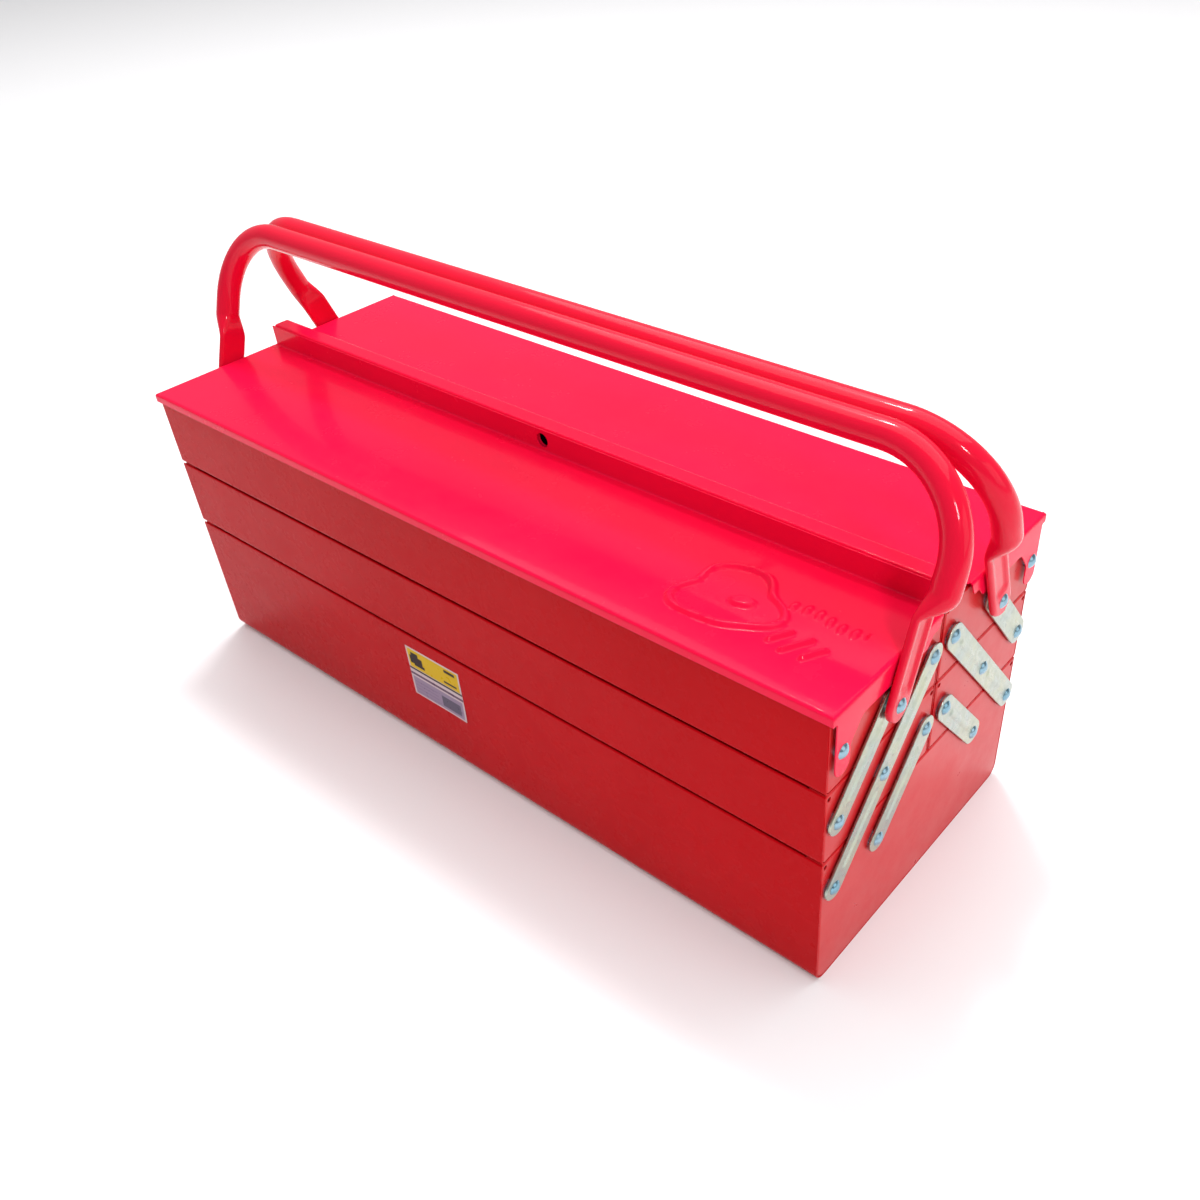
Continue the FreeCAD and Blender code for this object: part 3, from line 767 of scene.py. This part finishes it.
@dataclass
class Lid:
    """Folded lid with a front lip, lobed end flanges and its part of the middle ridge."""

    half: Half
    sheet: float = 0.8
    lip_depth: float = 5.8
    bend: float = 2.0
    ridge_height: float = 13.7
    ridge_width: float = 10.7
    down_flange: float = 12.8
    cut_edge: float = 0.2
    lip_gap: float = 0.05
    lobe_radius: float = 6.0
    lobe_slope: float = 9.0
    skirt_drop: float = 13.5
    skirt_end: float = 14.0
    notch_rise: float = 6.0
    notch_start: float = 9.0
    notch_end: float = 4.0
    flange_end_gap: float = 1.0
    ridge_end: float = 3.0
    lock_rise: float = 6.7
    lock_radius: float = 4.5
    window: float = 9.0
    window_corner: float = 1.0
    margin: float = 11.0
    emboss_height: float = 2.0
    wave: float = 0.25

    @property
    def span(self) -> Span:
        """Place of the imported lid."""
        return Span.of(f"{self.half.word}_lid")

    def flat_height(self) -> float:
        """Height of the lid's flat."""
        return self.span.high[2] - self.ridge_height

    def section(self) -> Outline:
        """Section across the lid, drawn as for the front half (outer edge at low y)."""
        span = self.span
        outer = -max(abs(span.low[1]), abs(span.high[1]))
        ridge, top = span.high[2], self.flat_height()
        under, lip, sheet = top - self.sheet, top - self.lip_depth, self.sheet
        inner_bend = self.bend - sheet
        if self.half is Half.FRONT:
            back = span.high[1]
            face = back - sheet
            return Outline.of(
                (outer, lip, self.cut_edge), (outer, top, self.bend), (face, top, 1.0), (face, ridge, 0.35),
                (back, ridge, 0.35), (back, under, 1.8), (outer + sheet, under, inner_bend),
                (outer + sheet, lip, self.cut_edge))
        down = -span.low[1]
        crest = down - self.ridge_width
        foot = crest - self.ridge_height
        shift = sheet * math.tan(math.radians(22.5))
        return Outline.of(
            (outer, lip, self.cut_edge), (outer, top, self.bend), (foot, top, 3.0), (crest, ridge, 3.0),
            (down, ridge, 1.5), (down, ridge - self.down_flange, self.cut_edge),
            (down - sheet, ridge - self.down_flange, self.cut_edge), (down - sheet, ridge - sheet, 0.7),
            (crest + shift, ridge - sheet, 2.2), (foot + shift, under, 3.8),
            (outer + sheet, under, inner_bend), (outer + sheet, lip, self.cut_edge))

    def emboss(self, x: np.ndarray, y: np.ndarray) -> np.ndarray:
        """Height of the pressed ornament: a ring round a boss, three slanting ribs and a beaded row.

        Each line is a smooth step of its half width less the distance to its middle.
        The ring's middle lies where radius = 23 + 3.4 cos(3 angle + 0.6) + 1.3 cos(5 angle),
        with distances along the lid drawn at 0.86 of their size. Where lines meet, the
        higher one counts.
        """
        if self.half is not Half.FRONT:
            return np.zeros_like(x)
        across, along = (x - 177.0) * 0.86, y + 57.0
        angle = np.arctan2(along, across)
        radius = 23.0 + 3.4 * np.cos(3 * angle + 0.6) + 1.3 * np.cos(5 * angle)
        ring = np.abs(np.hypot(across, along) - radius)
        height = smooth_step((2.8 - ring) / 2.2)
        heart = np.hypot((x - 184.0) * 0.7 + along * 0.5, (along - (x - 184.0) * 0.4) * 1.3)
        height = np.maximum(height, smooth_step((7.0 - heart) / 3.0))
        for place, drop, reach in ((214.0, -68.0, 6.0), (224.0, -69.0, 8.0), (234.0, -70.0, 6.0)):
            run = (x - place) * 0.50 + (y - drop) * 0.87
            lean = (x - place) * 0.87 - (y - drop) * 0.50
            off = np.hypot(lean, np.maximum(np.abs(run) - reach, 0))
            height = np.maximum(height, 1.15 * smooth_step((2.2 - off) / 2.0))
        pitch = 7.0
        bead = np.abs((x - 206.0) / pitch - np.round((x - 206.0) / pitch)) * pitch
        row = np.hypot(bead, (y + 45.0 + 1.6 * np.sin(x / 6.0)) * 0.55)
        inside = (x > 204.0) & (x < 247.0)
        height = np.maximum(height, np.where(inside, 0.8 * smooth_step((2.6 - row) / 1.8), 0.0))
        return self.emboss_height * height

    def stations(self) -> np.ndarray:
        """Places along the lid, close together where the ornament is."""
        end = self.span.high[0] - self.bend
        coarse = np.linspace(-end, end, 71)
        if self.half is not Half.FRONT:
            return coarse
        fine = np.arange(143.0, 253.0, 0.7)
        return np.concatenate([coarse[coarse < 142], fine, coarse[coarse > 254]])

    def sheet_surface(self, draft: Draft) -> None:
        """Carry the section along the lid, with its ornament and a slight crown.

        The flat rises by the ornament and by slow sines that fade to nothing at its
        edges. Each point's farthest place along the lid follows the quarter circle of
        the end fold, so that the lip reaches the end flange round a rounded corner.
        """
        top = self.flat_height()
        face_x = self.span.high[0]
        loop = with_extra_points(self.section().at(0.0, 6), 6.0, (0.8, -85.0, -30.0))
        stations = self.stations()
        end = stations[-1]
        shape = (len(stations), len(loop))
        y = np.broadcast_to(loop[None, :, 0], shape)
        z = np.broadcast_to(loop[None, :, 1], shape)
        fall = np.clip((top - loop[:, 1]) / self.bend, 0, 1)
        side = loop[:, 0] < -90.0
        reach = np.where(side, face_x - self.bend + self.bend * np.sqrt(1 - (1 - fall) ** 2) - 0.05, end)
        on_ridge = loop[:, 1] > top + 0.3
        reach = np.where(on_ridge, face_x - self.ridge_end, reach)
        x = stations[:, None] * (reach / end)[None, :]
        flat = (np.abs(z - top + self.sheet / 2) < self.sheet * 0.6) & (y < -26.0) & (y > -96.0)
        share = np.clip((y + 97.0) / 70.0, 0, 1)
        edge = np.sin(math.pi * share) ** 0.8 * smooth_step((end - np.abs(x)) / 40.0)
        slow = 0.6 * np.sin(x / 83.0 + 0.7) + 0.4 * np.sin(x / 41.0 + y / 30.0)
        lift = np.where(flat, self.emboss(x, y) + self.wave * edge * slow, 0.0)
        points = np.stack([x, y * -self.half.value, z + lift], -1)
        holes = self.lock_holes(points)
        numbers = draft.sweep(points, [gap for gap, _ in holes])
        for pair in (holes[:2], holes[2:]):
            if pair:
                self.open_hole(draft, points, numbers, pair)

    def lock_holes(self, points: np.ndarray) -> list[tuple[tuple[int, int, int, int], Outline]]:
        """Parts of the grid that the padlock's shackle passes through.

        Args:
            points: The lid's grid.

        Returns:
            For each face of the sheet that is pierced, the rectangle of the grid that is
            replaced and the hole's outline (along, up); the two faces of one hole follow
            each other.
        """
        level = self.flat_height() + self.lock_rise
        middle = np.array([0.0, level])
        line = points[0, :, 1] * -self.half.value
        up = points[0, :, 2]
        rows = tuple(int(np.argmin(np.abs(points[:, 0, 0] - edge))) for edge in (-self.margin, self.margin))
        span = self.span
        if self.half is Half.FRONT:
            faces = [span.high[1] - self.sheet, span.high[1]]
        else:
            faces = [-span.low[1], -span.low[1] - self.sheet]
        found = []
        disc = Outline.strip(middle, middle, self.lock_radius)
        for face in faces:
            band = (np.abs(line - face) < 0.02) & (np.abs(up - level) < self.lock_radius + 2.3)
            columns = np.flatnonzero(band)
            found.append(((*rows, int(columns.min()), int(columns.max())), disc))
        if self.half is Half.REAR:
            reach, corner = self.window / 2, self.window_corner
            square = Outline.of((-reach, level - reach, corner), (reach, level - reach, corner),
                                (reach, level + reach, corner), (-reach, level + reach, corner))
            down = -span.low[1]
            crest, shift = down - self.ridge_width, self.sheet * math.sqrt(2)
            for inset in (0.0, shift):
                slope = crest + inset - (span.high[2] - up)
                band = (np.abs(line - slope) < 0.02) & (np.abs(up - level) < reach + 1.6)
                columns = np.flatnonzero(band)
                found.append(((*rows, int(columns.min()), int(columns.max())), square))
        return found

    @staticmethod
    def open_hole(draft: Draft, points: np.ndarray, numbers: np.ndarray,
                  pair: list[tuple[tuple[int, int, int, int], Outline]]) -> None:
        """Fill round a hole in both faces of the sheet and line it.

        Args:
            draft: Where the lid is being built.
            points: The lid's grid.
            numbers: Its point numbers.
            pair: The two faces' rectangles, with the hole's outline.
        """
        rings = []
        for (row, last_row, column, last_column), outline in pair:
            table = numbers[row:last_row + 1, column:last_column + 1]
            border = np.concatenate([table[0, :-1], table[:-1, -1], table[-1, :0:-1], table[:0:-1, 0]])
            first, last = points[row, column], points[row, last_column]
            shape = outline.at(0.0)
            share = (shape[:, 1] - first[2]) / (last[2] - first[2])
            across = first[1] + share * (last[1] - first[1])
            ring = np.column_stack([shape[:, 0], across, shape[:, 1]])
            rings.append((border, ring))
        lining = draft.grid(np.stack([ring for _, ring in rings]), True)
        for (border, _), hole in zip(rings, lining):
            draft.fill(border, hole)

    def flange(self, draft: Draft, end: End) -> None:
        """End flange: a quarter-round fold carried across, and the lobed plate below it."""
        span = self.span
        face_x = span.high[0]
        top = self.flat_height()
        outer = -max(abs(span.low[1]), abs(span.high[1]))
        rivets = Span.of(f"{self.half.word}_lid_rivets")
        pivot_y, pivot_z = (rivets.low[1:] + rivets.high[1:]) / 2
        pivot_y = -abs(pivot_y)
        ridge_foot = (span.high[1] - self.sheet if self.half is Half.FRONT
                      else -span.low[1] - self.ridge_width - self.ridge_height)
        fold_low = top - self.bend
        lobe_out, lobe_in = pivot_y - self.lobe_radius, pivot_y + self.lobe_radius
        bottom = span.low[2]
        skirt = top - self.sheet - self.skirt_drop
        side = -self.half.value
        angles = np.linspace(0, math.pi / 2, 7)
        reach = np.concatenate([[self.bend] * 7, [self.bend - self.sheet] * 7])
        turn = np.concatenate([angles, angles[::-1]])
        fold_x = end.value * (face_x - self.bend + reach * np.sin(turn))
        fold_z = fold_low + reach * np.cos(turn)
        inner_lip, last = outer + self.sheet + self.lip_gap, ridge_foot - self.flange_end_gap
        places = np.linspace(inner_lip, last, 24)
        loops = np.stack([np.stack([fold_x, np.full(14, y * side), fold_z], 1) for y in places])
        draft.sweep(loops)
        lip = top - self.lip_depth
        outline = Outline.of(
            (inner_lip, fold_low, 0), (inner_lip, lip, 0.4), (lobe_out, lip, 0.8),
            (lobe_out, bottom, self.lobe_radius), (lobe_in, bottom, self.lobe_radius),
            (lobe_in, pivot_z, 5), (lobe_in + self.lobe_slope, skirt, 6),
            (ridge_foot - self.skirt_end, skirt, 4),
            (ridge_foot - self.notch_start, skirt + self.notch_rise, 2),
            (ridge_foot - self.notch_end, skirt + self.notch_rise, 2), (last, fold_low, 0))

        def put(points: np.ndarray, deep: float) -> np.ndarray:
            """Stand the flange's points upright at the end of the lid."""
            return np.column_stack([np.full(len(points), end.value * (face_x - deep)), points[:, 0] * side,
                                    points[:, 1]])

        plate(draft, outline, round_edge(0.18, self.sheet, 2), put)

    def build(self, finishes: Finishes) -> None:
        """Make and dress the lid."""
        draft = Draft()
        self.sheet_surface(draft)
        for end in End:
            self.flange(draft, end)
        name = f"{self.half.word}_lid"
        dress(draft.finish(f"{name}_panel"), finishes.lid, "red_lid", f"{name}_body", name)


# ---------------------------------------------------------------- handles


@dataclass
class Handle:
    """Bent tube with flattened ends that are riveted to the top tray."""

    half: Half
    radius: float = 7.5
    corner: float = 48.0
    flat: float = 4.0
    flat_half_width: float = 9.25
    flat_top: float = 42.0
    swell: float = 16.0
    groove: float = 1.3
    groove_half: float = 3.6
    groove_side: float = 2.2
    section_points: int = 40
    toe_edge: float = 0.8

    def sizes(self) -> tuple[float, float, float, np.ndarray]:
        """Leg place, flat end's inner face, length above the rivet, and the rivet's middle."""
        span = Span.of(f"{self.half.word}_handle")
        rivet = Span.of(f"{self.half.word}_handle_rivets")
        pivot = (rivet.low[1:] + rivet.high[1:]) / 2
        leg_x = span.high[0] - self.radius
        inner = Span.of(f"{self.half.word}_handle_spacers").high[0] + 0.05
        grip_z = span.high[2] - self.radius
        near = min(abs(span.low[1]), abs(span.high[1])) + self.radius
        return leg_x, inner, float(np.hypot(abs(pivot[0]) - near, grip_z - pivot[1])), pivot

    def centre_line(self) -> tuple[np.ndarray, np.ndarray, np.ndarray, np.ndarray]:
        """Right-hand half of the bent tube, upright, from the toe to the middle of the grip.

        Returns:
            Middle points (x, up), outward normals (x, up), half widths and half depths.
        """
        leg_x, inner, length, _ = self.sizes()
        turn = np.linspace(0, math.pi / 2, 11)
        half = self.flat_half_width
        tip = -half * np.cos(turn)
        up = np.concatenate([tip, np.linspace(0, self.flat_top, 34)[1:], np.linspace(
            self.flat_top, self.flat_top + self.swell, 20)[1:], np.linspace(
            self.flat_top + self.swell, length - self.corner, 8)[1:]])
        blend = smooth_step((up - self.flat_top) / self.swell)
        width = half + blend * (self.radius - half)
        width[:len(turn)] = np.maximum(half * np.sin(turn), self.toe_edge)
        depth = self.flat / 2 + blend * (self.radius - self.flat / 2)
        depth[0] = self.toe_edge
        middle_x = inner + self.flat / 2 + blend * (leg_x - inner - self.flat / 2)
        leg = np.stack([middle_x, up], 1)
        slope = np.gradient(middle_x, up)
        leg_normal = np.stack([np.ones(len(up)), -slope], 1)
        leg_normal /= np.linalg.norm(leg_normal, axis=1, keepdims=True)
        angle = np.linspace(0, math.pi / 2, 19)[1:]
        bend_normal = np.stack([np.cos(angle), np.sin(angle)], 1)
        bend = np.array([leg_x - self.corner, length - self.corner]) + self.corner * bend_normal
        grip_x = np.linspace(leg_x - self.corner, 0, 15)[1:]
        grip = np.stack([grip_x, np.full(14, length)], 1)
        grip_normal = np.tile([0.0, 1.0], (14, 1))
        middle = np.vstack([leg, bend, grip])
        normal = np.vstack([leg_normal, bend_normal, grip_normal])
        rest = len(middle) - len(leg)
        return (middle, normal, np.concatenate([width, np.full(rest, self.radius)]),
                np.concatenate([depth, np.full(rest, self.radius)]))

    def build(self, finishes: Finishes) -> None:
        """Carry a round-ended section that swells into a circle along the bent tube.

        At a share of the way round, the section is a strip of half width w and half
        depth d with round ends; where w equals d it is a circle. A shallow groove is
        pressed into the outer face of the flattened leg.
        """
        middle, normal, width, depth = self.centre_line()
        mirrored = middle[-2::-1] * [-1, 1], normal[-2::-1] * [-1, 1]
        middle, normal = np.vstack([middle, mirrored[0]]), np.vstack([normal, mirrored[1]])
        width, depth = (np.concatenate([values, values[-2::-1]]) for values in (width, depth))
        share = (np.arange(self.section_points) + 0.5) / self.section_points
        straight, arc = (width - depth)[:, None], math.pi * depth[:, None]
        travel = share[None, :] * 2 * (2 * straight + arc)
        second = travel >= 2 * straight + arc
        travel = np.where(second, travel - 2 * straight - arc, travel)
        sign = np.where(second, -1.0, 1.0)
        angle = np.maximum(travel - 2 * straight, 0) / np.maximum(depth[:, None], 1e-6)
        on_flat = travel < 2 * straight
        across = sign * np.where(on_flat, straight - travel, -straight - depth[:, None] * np.sin(angle))
        deep = sign * np.where(on_flat, depth[:, None], depth[:, None] * np.cos(angle))
        up = middle[:, 1][:, None]
        pressed = smooth_step((up - 5) / 5) * smooth_step((self.flat_top + self.swell * 0.5 - up) / 9)
        in_groove = 1 - smooth_step((np.abs(across) - self.groove_half) / self.groove_side)
        dent = self.groove * pressed * in_groove * (deep > 0)
        deep = deep - dent
        x = middle[:, 0][:, None] + normal[:, 0][:, None] * deep
        height = up + normal[:, 1][:, None] * deep
        _, _, length, pivot = self.sizes()
        span = Span.of(f"{self.half.word}_handle")
        near = min(abs(span.low[1]), abs(span.high[1])) + self.radius
        lean = math.asin((abs(pivot[0]) - near) / length)
        inward = -self.half.value
        y = pivot[0] + inward * (across * math.cos(lean) + height * math.sin(lean))
        z = pivot[1] - across * math.sin(lean) + height * math.cos(lean)
        draft = Draft()
        draft.sweep(np.stack([x, y, z], -1))
        name = f"{self.half.word}_handle"
        dress(draft.finish(f"{name}_tube", crease=50), finishes.handle, "red_handle", f"{name}_frame", name)


# ---------------------------------------------------------------- arms and links


@dataclass
class Strap:
    """Zinc-plated arm: a round-ended strip with a bead pressed between its rivets.

    Attributes:
        stem: Node name without its end.
        body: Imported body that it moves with.
        pivots: Rivet middles (y, z) from the lowest up.
    """

    stem: str
    body: str
    pivots: list[np.ndarray]
    half_width: float = 7.5
    thickness: float = 1.5
    bead_half: float = 2.7
    bead_height: float = 0.8
    bead_clear: float = 12.0

    def strip(self, draft: Draft, inner_x: float, end: End) -> None:
        """The flat strip with its beads."""
        outer_x = inner_x + self.thickness

        def put(points: np.ndarray, deep: float) -> np.ndarray:
            """Stand the strip's points upright beside the end plates."""
            return np.column_stack([np.full(len(points), end.value * (outer_x - deep)), points])

        beads = []
        for start, finish in zip(self.pivots, self.pivots[1:]):
            along = (finish - start) / np.linalg.norm(finish - start) * self.bead_clear
            beads.append((Outline.strip(start + along, finish - along, self.bead_half), self.bead_height))
        outline = Outline.strip(self.pivots[0], self.pivots[-1], self.half_width)
        plate(draft, outline, round_edge(0.4, self.thickness), put, beads=beads, steps=10)

    def build(self, finishes: Finishes) -> None:
        """Make and dress the arm at both ends of the box."""
        for end in End:
            node = f"{self.stem}_{end.word}"
            span = Span.of(node)
            inner_x = min(abs(span.low[0]), abs(span.high[0]))
            draft = Draft()
            self.strip(draft, inner_x, end)
            piece = draft.finish(f"{self.stem}_strap_{end.word}")
            dress(piece, finishes.strap, "zinc_strap", self.body, node)


def straps_of(half: Half) -> list[Strap]:
    """The arms and the handle link of one half, placed by that half's rivets.

    Args:
        half: Front or rear.

    Returns:
        Long arm, short arm and handle link.
    """
    def middle(node: str) -> np.ndarray:
        """Middle of a rivet pair, seen along the box."""
        span = Span.of(node)
        return (span.low[1:] + span.high[1:]) / 2

    upper = middle(f"{half.word}_arm_rivets")
    handle = middle(f"{half.word}_handle_rivets")
    arm = Span.of(f"{half.word}_long_arm_right")
    strip_radius = (arm.high[1] - arm.low[1] - 2 * abs(upper[0] - handle[0])) / 2
    outer = arm.low[1] + strip_radius if half is Half.FRONT else arm.high[1] - strip_radius
    bottom = np.array([outer, arm.low[2] + strip_radius])
    centre = (upper + bottom) / 2
    step = centre - bottom
    short = [upper - 2 * step + [step[0], 0], upper - [0, step[1]]]
    return [
        Strap(f"{half.word}_long_arm", f"{half.word}_long_arms", [bottom, centre, upper]),
        Strap(f"{half.word}_short_arm", f"{half.word}_short_arms", short),
        Strap(f"{half.word}_handle_link", f"{half.word}_handle_frame", [handle - step, handle]),
    ]


# ---------------------------------------------------------------- label and hardware


@dataclass
class Label:
    """Printed sticker on the front wall, with one corner starting to lift."""

    lift: float = 0.5
    ripple: float = 0.04

    def build(self) -> None:
        """Lay a thin sheet on the wall.

        Its lift is the fifth power of the share across less the share up, where that is
        positive, and a ripple of two sines is added.
        """
        span = Span.of("label")
        thick = span.high[1] - span.low[1]
        across, up = np.meshgrid(np.linspace(0, 1, 29), np.linspace(0, 1, 25))
        x = span.low[0] + across * (span.high[0] - span.low[0])
        z = span.low[2] + up * (span.high[2] - span.low[2])
        rise = self.lift * np.clip(across - up, 0, 1) ** 5
        rise = rise + self.ripple * np.sin(across * 9 + 1) * np.sin(up * 7)
        surface = span.high[1] - thick * 0.6 - rise
        draft = Draft()
        outer = draft.grid(np.stack([x, surface, z], -1))
        inner = draft.grid(np.stack([x, surface + thick * 0.5, z], -1))
        edges = ((outer[0], inner[0]), (outer[:, 0], inner[:, 0]),
                 (outer[-1], inner[-1]), (outer[:, -1], inner[:, -1]))
        for front, back in edges:
            draft.faces.extend(np.stack([front[:-1], front[1:], back[1:], back[:-1]], 1).tolist())
        size = span.high - span.low
        film = PrintedFilm((span.low[0], span.low[2]), (size[0], size[2]))
        dress(draft.finish("printed_label"), film.make(), "label", "base", "label")


@dataclass
class Hardware:
    """Rivets, washers and spacers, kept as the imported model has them."""

    words: tuple[str, ...] = ("rivets", "washers", "spacers")

    def dress(self, finishes: Finishes) -> None:
        """Give every fastener the blue-passivated finish."""
        for name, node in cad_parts.items():
            if any(word in name for word in self.words):
                node.data.materials.clear()
                node.data.materials.append(finishes.rivet)
                LOG.info("%s keeps its packed shape", name)


# ---------------------------------------------------------------- studio


@dataclass
class Camera:
    """Hand-held view from above the right-hand front corner."""

    azimuth: float = 40.9
    elevation: float = 39.2
    roll: float = -2.86
    place: tuple[float, float, float] = (454.4, -411.0, 521.1)
    lens: float = 34.61
    shift: tuple[float, float] = (-0.0734, 0.0485)

    def build(self) -> None:
        """Point the camera by its azimuth, elevation and roll."""
        turn, rise, roll = (math.radians(angle) for angle in (self.azimuth, self.elevation, self.roll))
        back = np.array([math.sin(turn) * math.cos(rise), -math.cos(turn) * math.cos(rise), math.sin(rise)])
        level = np.array([math.cos(turn), math.sin(turn), 0.0])
        above = np.cross(back, level)
        right = math.cos(roll) * level + math.sin(roll) * above
        up = -math.sin(roll) * level + math.cos(roll) * above
        data = bpy.data.cameras.new("view")
        data.lens = self.lens
        data.sensor_width = 36.0
        data.shift_x, data.shift_y = self.shift
        camera = bpy.data.objects.new("view", data)
        axes = Matrix(np.column_stack([right, up, back]).tolist()).to_4x4()
        camera.matrix_world = Matrix.Translation(Vector(self.place) * MM) @ axes
        bpy.context.scene.collection.objects.link(camera)
        bpy.context.scene.camera = camera


@dataclass(frozen=True)
class Lamp:
    """One rectangular soft light that looks at a point of the box."""

    name: str
    place: tuple[float, float, float]
    size: tuple[float, float]
    power: float
    colour: tuple[float, float, float] = (1.0, 1.0, 1.0)
    aim: tuple[float, float, float] = (0.0, 0.0, 0.12)

    def build(self) -> None:
        """Hang the light and turn it towards its aim."""
        data = bpy.data.lights.new(self.name, "AREA")
        data.shape = "RECTANGLE"
        data.size, data.size_y = self.size
        data.energy = self.power
        data.color = self.colour
        lamp = bpy.data.objects.new(self.name, data)
        lamp.location = self.place
        lamp.rotation_euler = (Vector(self.aim) - Vector(self.place)).to_track_quat("-Z", "Y").to_euler()
        bpy.context.scene.collection.objects.link(lamp)


@dataclass
class Studio:
    """Pale floor, soft lights, pale surroundings and the camera."""

    ambient: float = 0.42
    floor_size: float = 14.0
    lamps: tuple[Lamp, ...] = (
        Lamp("overhead", (-0.2, 0.9, 3.2), (5.0, 4.0), 128.0, (1.0, 0.98, 0.98)),
        Lamp("window", (1.5, -0.8, 1.4), (0.25, 0.35), 14.0, (1.0, 0.97, 0.98)),
        Lamp("skylight", (-0.6, 0.7, 2.3), (0.4, 0.25), 24.0),
        Lamp("side", (2.6, 0.4, 0.9), (1.6, 1.2), 7.0, (1.0, 0.96, 0.95)),
    )

    def build(self) -> None:
        """Set up everything that isn't part of the box."""
        scene = bpy.context.scene
        scene.view_settings.view_transform = "Standard"
        world = bpy.data.worlds.new("surroundings")
        world.use_nodes = True
        tree = world.node_tree
        backdrop = tree.nodes["Background"]
        backdrop.inputs["Strength"].default_value = self.ambient
        direction = tree.nodes.new("ShaderNodeTexCoord")
        split = tree.nodes.new("ShaderNodeSeparateXYZ")
        ramp = tree.nodes.new("ShaderNodeValToRGB")
        tree.links.new(direction.outputs["Generated"], split.inputs["Vector"])
        tree.links.new(split.outputs["Z"], ramp.inputs["Fac"])
        tree.links.new(ramp.outputs["Color"], backdrop.inputs["Color"])
        ramp.color_ramp.elements[0].color = (0.80, 0.80, 0.81, 1)
        ramp.color_ramp.elements[1].position = 0.75
        ramp.color_ramp.elements[1].color = (1.0, 1.0, 1.0, 1)
        scene.world = world
        reach = self.floor_size / 2
        draft = Draft()
        side = np.linspace(-reach, reach, 9) / MM
        x, y = np.meshgrid(side, side)
        draft.grid(np.stack([x, y, np.zeros_like(x)], -1))
        floor = draft.finish("floor")
        floor.modifiers.clear()
        floor.data.materials.append(FloorPaint().make())
        if floor.data.polygons[0].normal.z < 0:
            floor.data.flip_normals()
        for lamp in self.lamps:
            lamp.build()
        Camera().build()


def main() -> None:
    """Build the studio and every piece of the box."""
    logging.basicConfig(level=logging.INFO, format="%(name)s %(message)s")
    Studio().build()
    finishes = Finishes()
    Tray(Row.BASE, None, bend=8.0).build(finishes)
    for half in Half:
        for row in (Row.MIDDLE, Row.TOP):
            Tray(row, half).build(finishes)
        for strap in straps_of(half):
            strap.build(finishes)
        Handle(half).build(finishes)
        Lid(half).build(finishes)
    Label().build()
    Hardware().dress(finishes)


if __name__ == "__main__":
    main()
